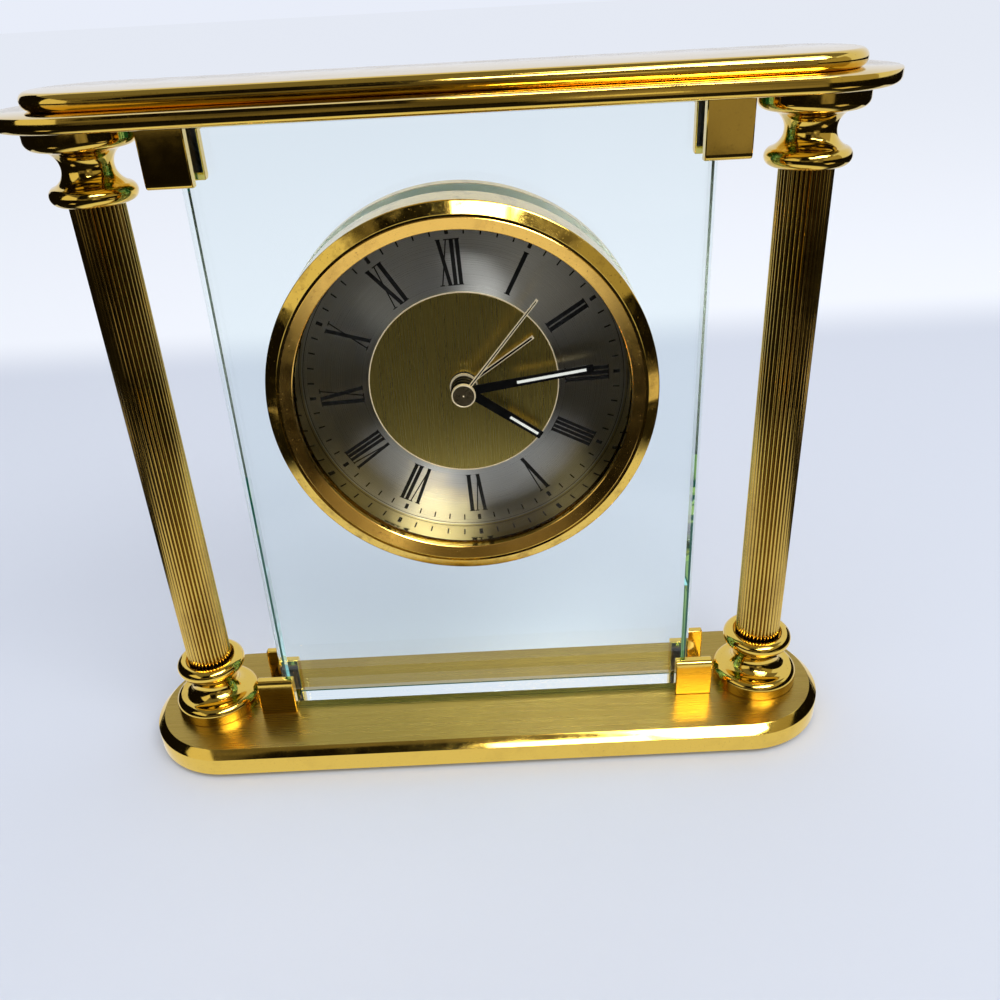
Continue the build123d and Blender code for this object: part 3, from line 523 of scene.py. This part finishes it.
clip_inner, clip_width, clip_round = 51.3, 9.6, 1.8
clip_jaw, clip_slot, clip_web = 2.6, 10.8, 1.0
jaw_in = clip_slot / 2
jaw_out = jaw_in + clip_jaw
for level, root, up, clip_height in (("upper", cornice_bottom, -1, 12.8), ("lower", base_top, 1, 10.8)):
    rear_jaw = [
        (jaw_out, 0, 0.0), (jaw_out, clip_height, clip_round),
        (jaw_in, clip_height, 0.0), (jaw_in, clip_web, 0.0),
    ]
    front_jaw = [(-across, height, rounding) for across, height, rounding in reversed(rear_jaw)]
    clip_profile = eased(front_jaw[-1:] + rear_jaw + front_jaw[:-1], 8)
    for side_name, side in sides:
        name = "glass_clip_" + level + "_" + side_name
        ends = (side * clip_inner, side * (clip_inner + clip_width))
        clip_loops = [[Vector((x, glass_middle + y, root + up * h)) for y, h in clip_profile] for x in ends]
        finished(name + "_milled", skin(clip_loops), polished_brass, name, bevel=0.25)

# Bezel: a heavy turned brass ring. A fine dark groove divides its polished outer slope from
# the warmer inner slope, and its wall stands on a gasket in front of the glass.
clock_plane = -1.2


def on_clock(a, b, w):
    """A point round the clock's axis: across, up, and forwards of a plane inside the glass."""
    return Vector((a, clock_plane - w, clock_height + b))


def clock_ring(profile, steps):
    """A closed ring turned round the clock's axis."""
    return skin(turned(profile, on_clock, steps), True)


bezel_stain = {"Metal": (0.80, 0.54, 0.10, 1), "Tarnish": (0.20, 0.10, 0.015, 1),
               "Patches": 0.75, "Specks": 0.8, "Polish": 0.05, "Size": 220.0}
bezel_brass = tarnished("bezel_brass", bezel_stain, Metallic=1.0, Coat_Weight=0.2, Coat_Roughness=0.06)
satin_stain = {"Metal": (0.95, 0.58, 0.13, 1), "Tarnish": (0.36, 0.13, 0.02, 1),
               "Patches": 0.25, "Specks": 0.5, "Polish": 0.12, "Size": 160.0}
satin_brass = tarnished("satin_brass", satin_stain, Metallic=1.0)
bezel_bore, bezel_radius, bezel_back = 38.2, 42.85, 3.5
groove_inner, groove_outer, groove_floor, groove_top = 39.65, 40.25, 13.2, 13.6
lip_radius, lip_back, lip_front = 37.0, 11.6, 12.6
bezel_wall = [
    (bezel_bore, bezel_back), (bezel_radius - 0.15, bezel_back), (bezel_radius, bezel_back + 0.15),
    (bezel_radius, 12.2), (bezel_radius, 12.3),
]
outer_slope = [(42.8, 12.46), (42.68, 12.578), (42.6, 12.615), (40.43, 13.617), (40.35, 13.654)]
groove = [
    (groove_outer, groove_top), (groove_outer, groove_floor),
    (groove_inner, groove_floor), (groove_inner, groove_top),
]
inner_slope = [(39.55, 13.662), (39.47, 13.632), (37.23, 12.787), (37.15, 12.757)]
lip = [(lip_radius, lip_front), (lip_radius, lip_back), (bezel_bore, lip_back)]
bezel_shape = clock_ring(bezel_wall + outer_slope + groove + inner_slope + lip, 192)
bezel_piece = finished("bezel_turned", bezel_shape, bezel_brass, "bezel", sharp=25)
refinish(bezel_piece, satin_brass, lambda face: face.normal.y < -0.5 and reach_of(face) < groove_inner + 0.05)

# Lens: a flat disc of clear glass, held between the bezel's lip and the front of the drum.
# Only a faint reflection, stronger at a slant, shows that it is there.
lens_glass, tree = new_material("clear_lens")
slant = add_node(tree, "ShaderNodeFresnel", IOR=1.2).outputs[0]
surface(tree, Base_Color=(1, 1, 1, 1), Metallic=1.0, Roughness=0.02, Alpha=slant)
lens_back, lens_front, lens_radius, drum_seat = 10.22, 11.58, 38.05, 36.7
near_axis = 0.001
lens_profile = [
    (near_axis, lens_back), (drum_seat, lens_back), (lens_radius - 0.1, lens_back),
    (lens_radius, lens_back + 0.08), (lens_radius, lens_front - 0.08),
    (lens_radius - 0.1, lens_front), (near_axis, lens_front),
]
lens_shape = skin(turned(lens_profile, on_clock, 128))
lens_piece = finished("lens_disc", lens_shape, lens_glass, "lens")
lens_piece.visible_shadow = False

# Case drum: thin brass tube through the glass; before the dial its polished bore mirrors the minute track.
# The retaining ring clamps it from behind, with a gasket on each side of the glass.
mirror_stain = {"Metal": (0.66, 0.54, 0.22, 1), "Tarnish": (0.34, 0.21, 0.07, 1),
                "Patches": 0.2, "Specks": 0.2, "Polish": 0.02, "Size": 90.0}
mirror_brass = tarnished("mirror_brass", mirror_stain, Metallic=1.0)
drum_back, drum_front, drum_radius, drum_inside, drum_bore = -11.5, 10.2, 38.1, 37.4, 36.8
dial_face = 2.7
drum_profile = [
    (drum_inside, drum_back), (drum_radius, drum_back), (drum_radius, drum_front),
    (drum_bore + 0.1, drum_front), (drum_bore, drum_front - 0.1), (drum_bore, dial_face),
    (drum_inside, dial_face),
]
drum_shape = clock_ring(drum_profile, 192)
finished("case_drum_polished", drum_shape, mirror_brass, "case_drum", sharp=25)
ring_radius, ring_front, ring_ease = 42.95, -7.5, 0.25
ring_profile = [
    (bezel_bore, drum_back), (ring_radius - ring_ease, drum_back), (ring_radius, drum_back + ring_ease),
    (ring_radius, ring_front - ring_ease), (ring_radius - ring_ease, ring_front), (bezel_bore, ring_front),
]
ring_shape = clock_ring(ring_profile, 192)
finished("retaining_ring_turned", ring_shape, bezel_brass, "retaining_ring", sharp=25)
milky = mottled("milky_gasket", (0.88, 0.76, 0.58, 1), (0.97, 0.87, 0.70, 1), scale=220.0, detail=4.0,
                Roughness=0.5, Subsurface_Weight=0.2)
gasket_thickness, gasket_round = 0.44, 0.15
for name, low, reach in (
    ("front_gasket", bezel_back - gasket_thickness, 41.8),
    ("rear_gasket", ring_front, ring_radius),
):
    high = low + gasket_thickness
    corners = ((hole_radius, low), (reach, low), (reach, high), (hole_radius, high))
    gasket_shape = clock_ring(eased([(across, w, gasket_round) for across, w in corners]), 128)
    finished(name + "_ring", gasket_shape, milky, name)

# Dial: a spun aluminium plate, its fine rings turning the light into bright and dark sectors,
# with a smaller gilt disc brushed upright in its middle and a bright line where the two meet.
silver_dial, tree = new_material("spun_silver_dial")
place = own_place(tree)
middle = (0.0, 0.0, clock_height * mm)
flat = vector_worked(tree, "MULTIPLY", vector_worked(tree, "SUBTRACT", place, middle), (1.0, 0.0, 1.0))
reach = vector_worked(tree, "LENGTH", flat, output="Value")
spun = add_node(tree, "ShaderNodeTexNoise", {"noise_dimensions": "1D"}, W=reach, Scale=8200.0, Detail=3.0,
                Roughness=0.7).outputs["Fac"]
tone = worked(tree, "MULTIPLY_ADD", noise(tree, place, 70.0, 4.0), 0.25, spun)
silver = blend(tree, ranged(tree, tone, 0.3, 0.9, 0.0, 1.0), (0.46, 0.47, 0.45, 1), (0.74, 0.75, 0.73, 1))
rings_run = add_node(tree, "ShaderNodeTangent", {"direction_type": "RADIAL", "axis": "Y"}).outputs[0]
surface(tree, Metallic=1.0, Anisotropic=1.0, Anisotropic_Rotation=0.25, Base_Color=silver, Tangent=rings_run,
        Roughness=ranged(tree, spun, 0.3, 0.7, 0.27, 0.32), Normal=relief(tree, spun, 0.12, 0.0001))
pipe_hole, dial_radius, dial_back = 3.26, 37.3, 2.1
dial_profile = [
    (pipe_hole, dial_back), (dial_radius, dial_back), (dial_radius, dial_face), (pipe_hole, dial_face),
]
finished("dial_plate_spun", clock_ring(dial_profile, 192), silver_dial, "dial_plate", sharp=25)

gilt_dial, tree = new_material("brushed_gilt_dial")
gilt_tones = {"Light": (0.60, 0.48, 0.13, 1), "Dark": (0.42, 0.32, 0.075, 1)}
lines = grouped(tree, brushing, Lines=(4200.0, 4200.0, 45.0), **gilt_tones)
surface(tree, Metallic=0.94, Anisotropic=0.4, Base_Color=lines["Color"], Roughness=lines["Roughness"],
        Normal=relief(tree, lines["Height"], 0.15, 0.0001))
gilt_radius, gilt_top = 21.35, 2.9
gilt_profile = [
    (pipe_hole, dial_face), (gilt_radius, dial_face), (gilt_radius, gilt_top - 0.05),
    (gilt_radius - 0.05, gilt_top), (pipe_hole, gilt_top),
]
finished("dial_centre_gilt", clock_ring(gilt_profile, 160), gilt_dial, "dial_centre", sharp=25)
gold_stain = {"Metal": (0.97, 0.82, 0.52, 1), "Tarnish": (0.6, 0.42, 0.18, 1),
              "Patches": 0.2, "Specks": 0.2, "Polish": 0.3, "Size": 200.0}
bright_gold = tarnished("bright_gold_line", gold_stain, Metallic=0.25)
edge_inner, edge_outer, edge_low, edge_high = 21.36, 21.62, 2.71, 2.92
edge_corners = [
    (edge_inner, edge_low, 0.0), (edge_outer, edge_low, 0.05),
    (edge_outer, edge_high, 0.08), (edge_inner, edge_high, 0.08),
]
finished("dial_edge_line", clock_ring(eased(edge_corners), 160), bright_gold)

# Minute track: sixty printed strokes with a block at every fifth, in black ink on the silver ring.
# The printing sits slightly turned to the left in the case.
black_ink = mottled("black_dial_ink", (0.003, 0.003, 0.003, 1), (0.012, 0.012, 0.011, 1),
                    scale=900.0, detail=4.0, Roughness=0.5, Specular_IOR_Level=0.12)
dial_turn = 2.5


def marks_tree():
    """Geometry nodes: equal strokes set out round the dial's middle, standing on its face."""
    sizes = [("Count", "Int"), ("Radius", "Float"), ("Size", "Vector"), ("Turn", "Float"),
             ("Middle", "Vector"), ("Finish", "Material")]
    group, given, made = node_group("marks_round_dial", sizes, [("Geometry", "Geometry")], "GeometryNodeTree")
    ring = add_node(group, "GeometryNodeMeshCircle", Vertices=given["Count"], Radius=given["Radius"])
    mark = add_node(group, "GeometryNodeMeshCube", Size=given["Size"])
    spot = add_node(group, "GeometryNodeInputPosition").outputs[0]
    pointing = {"axis": "Y", "pivot_axis": "Z"}
    outward = add_node(group, "FunctionNodeAlignRotationToVector", pointing, Vector=spot)
    laid = add_node(group, "GeometryNodeInstanceOnPoints", Points=ring.outputs[0], Instance=mark.outputs[0],
                    Rotation=outward.outputs[0])
    real = add_node(group, "GeometryNodeRealizeInstances", Geometry=laid.outputs[0])
    turn = add_node(group, "ShaderNodeCombineXYZ", Z=given["Turn"])
    spun = add_node(group, "GeometryNodeTransform", Geometry=real.outputs[0], Rotation=turn.outputs[0])
    stood = add_node(group, "GeometryNodeTransform", Geometry=spun.outputs[0], Translation=given["Middle"],
                     Rotation=(math.pi / 2, 0.0, 0.0))
    painted = add_node(group, "GeometryNodeSetMaterial", Geometry=stood.outputs[0], Material=given["Finish"])
    group.links.new(painted.outputs[0], made[0])
    return group


track_tree = marks_tree()
track_sizes = {"Radius": 34.7 * mm, "Turn": math.radians(dial_turn), "Finish": black_ink,
               "Middle": tuple(on_clock(0, 0, dial_face) * mm)}
for name, count, size in (
    ("minute_strokes", 60, (0.32, 1.5, 0.04)),
    ("five_minute_blocks", 12, (0.8, 1.4, 0.06)),
):
    mark_sizes = {"Count": count, "Size": tuple(length * mm for length in size)}
    grown(name, track_tree, {**track_sizes, **mark_sizes})
ink_height = 0.03
line_inner, line_outer, line_top = 36.3, 36.42, dial_face + ink_height
track_line = [
    (line_inner, dial_face), (line_outer, dial_face), (line_outer, line_top), (line_inner, line_top),
]
finished("minute_track_line", clock_ring(track_line, 160), black_ink)

# Numerals: tall Roman figures with their feet to the middle, thick and thin strokes with hairline serifs.
# They are printed like the track, and the four is written with four strokes.
numeral_low, numeral_high = 23.0, 33.0
thick, thin, serif = 0.95, 0.28, 0.22
leaning, lean_in = 0.92, 0.55
v_serifs, x_serif = (1.3, 0.9), 1.1
figure_width = {"I": 1.3, "V": 3.0, "X": 3.0}
figures = ["I", "II", "III", "IIII", "V", "VI", "VII", "VIII", "IX", "X", "XI", "XII"]
squeezed = {3: 0.92, 4: 0.8}


def stroke(x_low, x_high, width):
    """A straight stroke from the figure's foot to its head, as four corners."""
    half = width / 2
    foot = [(x_low - half, numeral_low), (x_low + half, numeral_low)]
    return foot + [(x_high + half, numeral_high), (x_high - half, numeral_high)]


def bar(x, y, width):
    """A serif, as four corners."""
    half = width / 2
    return [(x - half, y), (x + half, y), (x + half, y + serif), (x - half, y + serif)]


def figure_strokes(letter, x, squeeze):
    """Strokes of one letter whose left side stands at x."""
    wide = figure_width[letter] * squeeze
    middle = x + wide / 2
    head = numeral_high - serif
    if letter == "I":
        stem = stroke(middle, middle, thick * squeeze)
        return [stem, bar(middle, numeral_low, wide), bar(middle, head, wide)]
    lean = wide / 2 - lean_in * squeeze
    heavy = thick * squeeze * leaning
    if letter == "V":
        strokes = [stroke(middle, middle - lean, heavy), stroke(middle, middle + lean, thin)]
        left, right = (width * squeeze for width in v_serifs)
        return strokes + [bar(middle - lean, head, left), bar(middle + lean, head, right)]
    strokes = [stroke(middle + lean, middle - lean, heavy), stroke(middle - lean, middle + lean, thin)]
    for y in (numeral_low, head):
        strokes += [bar(middle + way * lean, y, x_serif * squeeze) for way in (-1, 1)]
    return strokes


def spun_round(corners, turn):
    """Points on the dial, turned round its middle."""
    sine, cosine = math.sin(turn), math.cos(turn)
    return [(a * cosine - b * sine, a * sine + b * cosine) for a, b in corners]


stroke_step, letter_step = 0.004, 0.0015
numeral_points, numeral_faces = [], []
for hour, figure in enumerate(figures, 1):
    squeeze = squeezed.get(len(figure), 1.0)
    x = -sum(figure_width[letter] for letter in figure) * squeeze / 2
    turn = math.radians(dial_turn - 30 * hour)
    for order, letter in enumerate(figure):
        for number, corners in enumerate(figure_strokes(letter, x, squeeze)):
            start = len(numeral_points)
            lift = ink_height + stroke_step * number + letter_step * order
            for height in (0.0, lift):
                numeral_points += [on_clock(a, b, dial_face + height) for a, b in spun_round(corners, turn)]
            numeral_faces.append(tuple(start + k for k in (4, 5, 6, 7)))
            numeral_faces.append(tuple(start + k for k in (3, 2, 1, 0)))
            for k, beside in ((0, 1), (1, 2), (2, 3), (3, 0)):
                numeral_faces.append((start + k, start + beside, start + 4 + beside, start + 4 + k))
        x += figure_width[letter] * squeeze
finished("dial_numerals", (numeral_points, numeral_faces), black_ink)

# Hands: stamped blades on round hubs. Hour and minute are black with a pale luminous filling, which carries a
# faint painted glow, gilt underneath, the alarm hand and the second hand are gilt with a black stripe down
# the middle.
hand_black, tree = new_material("black_hand_lacquer")
lint = ranged(tree, noise(tree, own_place(tree), 1200.0, 5.0, 0.7), 0.66, 0.74, 0.0, 0.15)
hand_colour = blend(tree, lint, (0.003, 0.003, 0.003, 1), (0.2, 0.19, 0.17, 1))
surface(tree, Roughness=0.3, Specular_IOR_Level=0.15, Base_Color=hand_colour)
# Painted glow: the filling gives off a faint light in its own colour, which brightens it.
lume_with_painted_glow = mottled("lume_filling_painted_glow", (0.78, 0.80, 0.68, 1), (0.95, 0.96, 0.86, 1), scale=3000.0, detail=3.0,
                   glow=0.15, Roughness=0.6)


def recoat(mesh, finish):
    """Gives a mesh one material in place of those it has."""
    mesh.materials.clear()
    mesh.materials.append(finish)


def strip(angle, start, end, width_start, width_end, low, high):
    """A flat bar along a hand, from one distance to another, at an angle from the twelve."""
    near, far = width_start / 2, width_end / 2
    corners = [(-near, start), (near, start), (far, end), (-far, end)]
    laid = spun_round(corners, math.radians(-angle))
    return skin([[on_clock(a, b, w) for a, b in laid] for w in (low, high)])


for hand in ("hour_hand", "minute_hand"):
    recoat(nodes[hand].data, hand_black)
for hand in ("alarm_hand", "second_hand"):
    recoat(nodes[hand].data, bright_gold)
hour_angle, minute_angle, second_angle, alarm_angle = 125.7, 82.0, 39.4, 55.6
alarm_top, hour_top, minute_top, second_top = 4.1, 5.6, 7.1, 8.6
filling, stripe = (0.0, 0.05), (0.0, 0.03)
underside = (-0.46, -0.41)
hour, minute = ("hour_train", hour_angle, hour_top), ("minute_train", minute_angle, minute_top)
alarm, second = ("alarm_train", alarm_angle, alarm_top), ("second_train", second_angle, second_top)
for name, (body, angle, top), finish, levels, sizes in (
    ("hour_hand_filling", hour, lume_with_painted_glow, filling, (12.5, 20.2, 0.62, 0.62)),
    ("minute_hand_filling", minute, lume_with_painted_glow, filling, (12.1, 27.7, 0.66, 0.66)),
    ("hour_hand_underside", hour, bright_gold, underside, (12.3, 20.4, 0.9, 0.8)),
    ("minute_hand_underside", minute, bright_gold, underside, (11.9, 27.9, 0.9, 0.8)),
    ("alarm_hand_stripe", alarm, hand_black, stripe, (3.3, 19.0, 0.5, 0.42)),
    ("second_hand_stripe", second, hand_black, stripe, (1.2, 26.3, 0.3, 0.22)),
):
    low, high = (top + step for step in levels)
    finished(name, strip(angle, *sizes, low, high), finish, body=body)

# Collets of the hour and minute hand: short black rings pressed on the hubs.
# They hide the pipes between the hands.
collet_radius, collet_round = 2.9, 0.1
for name, body, bore, low, high in (
    ("hour_hand_collet_0", "hour_train", 2.05, 4.5, 5.19),
    ("hour_hand_collet_1", "hour_train", 2.05, 5.61, 6.55),
    ("minute_hand_collet_0", "minute_train", 1.35, 7.11, 8.05),
):
    collet_corners = [
        (bore, low, 0.0), (collet_radius, low, collet_round),
        (collet_radius, high, collet_round), (bore, high, 0.0),
    ]
    finished(name, clock_ring(eased(collet_corners), 64), hand_black, body=body)

# Cap of the hands: a small turned button on the second hand's pin.
# It is dark on top, with a bright rim and a pin point in the middle.
button_stain = {"Metal": (0.10, 0.075, 0.035, 1), "Tarnish": (0.02, 0.015, 0.01, 1),
                "Patches": 0.5, "Specks": 0.4, "Polish": 0.25, "Size": 500.0}
button_dark = tarnished("dark_button", button_stain, Metallic=0.6)
pin_radius, pin_end, button_radius = 0.62, 9.1, 2.7
button_rim = [
    (2.62, second_top), (button_radius, 8.68), (button_radius, 9.45), (2.6, 9.58), (2.45, 9.6), (2.38, 9.52),
]
pin_point = [(0.18, 9.5), (0.1, 9.44), (near_axis, 9.4)]
pin_seat = [(near_axis, pin_end), (pin_radius, pin_end)]
button_shape = clock_ring([(pin_radius, second_top)] + button_rim + pin_point + pin_seat, 64)
button_piece = finished("second_hand_button", button_shape, bright_gold, "second_hand_cap",
                        "second_train", sharp=30)
refinish(button_piece, button_dark, lambda face: face.normal.y < -0.5 and 0.15 < reach_of(face) < 2.3)

# Movement: white moulded wheels between black plates, with the coil, circuit board, buzzer and cell
# of a quartz alarm. None of it shows while the case is closed.
white_moulding = mottled("white_moulding", (0.72, 0.71, 0.66, 1), (0.84, 0.83, 0.79, 1),
                         scale=400.0, detail=3.0, Roughness=0.45, Subsurface_Weight=0.1)
black_moulding = mottled("black_moulding", (0.010, 0.010, 0.011, 1), (0.032, 0.032, 0.034, 1),
                         scale=2200.0, detail=2.0, raised=(0.35, 0.0002), Roughness=0.5)
soft_black = mottled("black_rubber", (0.012, 0.012, 0.012, 1), (0.035, 0.034, 0.032, 1),
                     scale=300.0, detail=4.0, Roughness=0.75)
green_board = mottled("lacquered_board", (0.01, 0.09, 0.03, 1), (0.03, 0.19, 0.07, 1),
                      scale=700.0, detail=2.0, Roughness=0.3, Coat_Weight=0.4)
steel_stain = {"Metal": (0.58, 0.58, 0.60, 1), "Tarnish": (0.30, 0.27, 0.24, 1),
               "Patches": 0.3, "Specks": 0.3, "Polish": 0.25, "Size": 300.0}
plain_steel = tarnished("plain_steel", steel_stain, Metallic=1.0)
copper_wire, tree = new_material("enamelled_copper")
copper_tones = {"Light": (0.72, 0.30, 0.12, 1), "Dark": (0.36, 0.12, 0.04, 1)}
turns = grouped(tree, brushing, Lines=(5200.0, 60.0, 60.0), **copper_tones)
surface(tree, Metallic=1.0, Coat_Weight=0.6, Base_Color=turns["Color"], Roughness=turns["Roughness"])
inner_finish = {
    white_moulding: ["alarm_wheel", "hour_wheel", "minute_wheel", "centre_wheel", "third_wheel",
                     "second_wheel", "intermediate_wheel"],
    black_moulding: ["front_plate", "rear_plate", "battery"],
    plain_steel: ["tie_rod_left", "tie_rod_right", "clip_screws", "pillar_screws", "stator", "rotor",
                  "quartz_crystal", "battery_contact_positive", "battery_contact_negative"],
    polished_brass: ["cannon_pinion", "alarm_buzzer"],
    copper_wire: ["coil"],
    green_board: ["circuit_board"],
    soft_black: ["clip_pads"],
}
for finish, coated in inner_finish.items():
    for node in coated:
        recoat(nodes[node].data, finish)

# Back of the insert: a moulded cover with the battery door, two fluted setting knobs and the alarm's
# slide switch. Three small screws hold it to the retaining ring.


def smoothed(node, name, material, body, bevel):
    """A copy of a solid with its facets joined, softly shaded, and its edges eased."""
    mesh = nodes[node].data.copy()
    mesh.name = name
    work = bmesh.new()
    work.from_mesh(mesh)
    bmesh.ops.remove_doubles(work, verts=work.verts, dist=1e-6)
    bmesh.ops.dissolve_limit(work, angle_limit=math.radians(1), verts=work.verts, edges=work.edges)
    work.to_mesh(mesh)
    work.free()
    recoat(mesh, material)
    return placed(name, mesh, node, body, 30, bevel)


smoothed("rear_cover", "rear_cover_moulded", black_moulding, "frame", 0.0)
smoothed("battery_door", "battery_door_moulded", black_moulding, "door", 0.2)
smoothed("time_set_knob", "time_knob_moulded", black_moulding, "time_knob", 0.0)
smoothed("alarm_set_knob", "alarm_knob_moulded", black_moulding, "alarm_knob", 0.0)
smoothed("alarm_switch", "alarm_switch_moulded", white_moulding, "switch", 0.2)
smoothed("cover_screws", "cover_screw_heads", plain_steel, "frame", 0.0)

# Studio: a pale floor that brightens towards the back, in bright surroundings.
# Cards in front, at the sides, overhead and on the floor stand for a dim room, and only mirror images
# show them. Two windows and a soft light look over them.


def level_card(x_low, y_low, x_high, y_high, z):
    """Corners of a card that lies level."""
    return [(x_low, y_low, z), (x_high, y_low, z), (x_high, y_high, z), (x_low, y_high, z)]


def upright_card(x_low, y_low, x_high, y_high, z_low, z_high):
    """Corners of a card that stands between two points of the floor."""
    return [(x_low, y_low, z_low), (x_high, y_high, z_low), (x_high, y_high, z_high), (x_low, y_low, z_high)]


def staged(name, corners, paint):
    """A flat card of the studio, in metres."""
    mesh = bpy.data.meshes.new(name)
    mesh.from_pydata(corners, [], [(0, 1, 2, 3)])
    mesh.materials.append(paint)
    card = bpy.data.objects.new(name, mesh)
    bpy.context.scene.collection.objects.link(card)
    return card


def glow_paint(name, colour=(0, 0, 0, 1)):
    """A paint that shines in its own colour and takes no light."""
    paint, tree = new_material(name)
    surface(tree, Base_Color=(0, 0, 0, 1), Roughness=1.0, Specular_IOR_Level=0.0, Emission_Strength=1.0,
            Emission_Color=colour)
    return paint


def dim_paint(name, darkest, brightest, near_glow):
    """The dim room: dark to the left, less so to the right, and on the floor running into the light."""
    paint = glow_paint(name)
    tree = paint.node_tree
    place = own_place(tree)
    across = add_node(tree, "ShaderNodeSeparateXYZ", Vector=place).outputs["X"]
    side_light = ranged(tree, across, -0.3, 0.3, darkest, brightest)
    cloudy = ranged(tree, noise(tree, place, 9.0, 3.0), 0.38, 0.65, 0.5, 1.3)
    dim = worked(tree, "MULTIPLY", side_light, cloudy)
    room = blend(tree, dim, (0.002, 0.0017, 0.0015, 1), (1.0, 0.88, 0.7, 1))
    away = vector_worked(tree, "LENGTH", place, output="Value")
    near = ranged(tree, away, 0.13, 0.165, near_glow, 0.0, "SMOOTHSTEP")
    surface(tree, Emission_Color=blend(tree, near, room, (0.86, 0.88, 0.92, 1)))
    return paint


floor_paint, tree = new_material("pale_floor")
back = add_node(tree, "ShaderNodeSeparateXYZ", Vector=own_place(tree)).outputs["Y"]
far = ranged(tree, back, 0.28, 0.36, 0.0, 1.0, "SMOOTHSTEP")
floor_colour = blend(tree, far, (0.70, 0.72, 0.76, 1), (0.96, 0.96, 0.95, 1))
surface(tree, Roughness=0.8, Specular_IOR_Level=0.0, Base_Color=floor_colour)
staged("studio_floor", level_card(-9, -9, 9, 9, 0), floor_paint)

room_wall = dim_paint("dim_room_wall", 0.15, 0.24, 0.0)
room_floor = dim_paint("dim_room_floor", 0.006, 0.02, 1.0)
room_dark = glow_paint("dark_room", (0.006, 0.005, 0.004, 1))
wall_lit = glow_paint("lit_wall", (0.85, 0.82, 0.70, 1))
wall_half_lit = glow_paint("half_lit_wall", (0.40, 0.36, 0.24, 1))
ceiling_paint = glow_paint("dim_ceiling", (0.2, 0.19, 0.16, 1))
floor_lit = glow_paint("lit_floor", (0.75, 0.68, 0.62, 1))
for name, corners, paint in (
    ("front_screen", upright_card(-1.2, -0.6, 1.2, -0.6, 0.0, 1.6), room_wall),
    ("front_dark", upright_card(-0.8, -0.595, 0.05, -0.595, 0.0, 0.085), room_dark),
    ("dark_figure", upright_card(-0.33, -0.59, -0.05, -0.59, 0.25, 0.8), room_dark),
    ("lit_patch", upright_card(0.08, -0.59, 0.17, -0.59, 0.10, 0.16), wall_lit),
    ("left_dark", upright_card(-0.33, -0.6, -0.33, 0.3, 0.0, 0.16), room_dark),
    ("left_lit", upright_card(-0.34, -0.55, -0.34, -0.10, 0.16, 0.42), wall_lit),
    ("left_corner", upright_card(-0.34, -0.10, -0.34, 0.25, 0.16, 0.42), room_dark),
    ("right_dark", upright_card(0.33, -0.6, 0.33, 0.3, 0.0, 0.16), room_dark),
    ("right_half_lit", upright_card(0.34, -0.6, 0.34, -0.05, 0.16, 0.35), wall_half_lit),
    ("ceiling", level_card(-0.9, -0.6, 0.9, 0.4, 0.95), ceiling_paint),
    ("floor_screen", level_card(-0.9, -0.6, 0.9, 0.1, 0.001), room_floor),
    ("floor_patch_left", level_card(-0.27, -0.19, -0.2, -0.12, 0.002), floor_lit),
    ("floor_patch_right", level_card(0.2, -0.23, 0.36, -0.12, 0.002), floor_lit),
):
    screen = staged(name, corners, paint)
    for sight in ("visible_camera", "visible_diffuse", "visible_shadow", "visible_transmission"):
        setattr(screen, sight, False)


def soft_light(name, spot, aim, size, power):
    """A lit rectangle that looks from a spot to its aim."""
    lamp = bpy.data.lights.new(name, "AREA")
    lamp.shape = "RECTANGLE"
    lamp.size, lamp.size_y = size
    lamp.energy = power
    light = bpy.data.objects.new(name, lamp)
    light.location = spot
    light.rotation_euler = (Vector(aim) - Vector(spot)).to_track_quat("-Z", "Y").to_euler()
    bpy.context.scene.collection.objects.link(light)
    return light


bezel_crest = (0.004, -0.014, 0.14)
soft_light("overhead_light", (0.32, -0.40, 0.80), (0, 0, 0.08), (0.5, 0.35), 2.6)
window = soft_light("window", (0.06, -0.45, 0.472), bezel_crest, (0.155, 0.10), 0.65)
side_window = soft_light("side_window", (0.30, -0.45, 0.63), bezel_crest, (0.30, 0.2), 3.4)
for glint in (window, side_window):
    glint.visible_diffuse = False

world = bpy.data.worlds.new("studio_surroundings")
bpy.context.scene.world = world
world.use_nodes = True
background = world.node_tree.nodes["Background"]
set_sockets(world.node_tree, background, {"Color": (0.83, 0.87, 0.97, 1), "Strength": 0.98})
bpy.context.scene.view_settings.view_transform = "Standard"

# Camera: where the photograph was taken from, close in front of the clock and above it.
# Its place and turn were solved from the base, the columns, the cornice and the dial.
yaw, pitch, roll = math.radians(0.54), math.radians(28.95), math.radians(-3.12)
camera_place = Vector((0.00861, -0.20238, 0.17923))
forward = Vector((-math.sin(yaw) * math.cos(pitch), math.cos(yaw) * math.cos(pitch), -math.sin(pitch)))
level = Vector((math.cos(yaw), math.sin(yaw), 0))
upward = level.cross(forward)
right = math.cos(roll) * level + math.sin(roll) * upward
top = -math.sin(roll) * level + math.cos(roll) * upward
camera = bpy.data.objects.new("camera", bpy.data.cameras.new("camera"))
camera.data.sensor_width = 36.0
camera.data.lens = 33.588
camera.data.clip_start = 0.01
axes = Matrix((right, top, -forward)).transposed()
camera.matrix_world = Matrix.Translation(camera_place) @ axes.to_4x4()
bpy.context.scene.collection.objects.link(camera)
bpy.context.scene.camera = camera
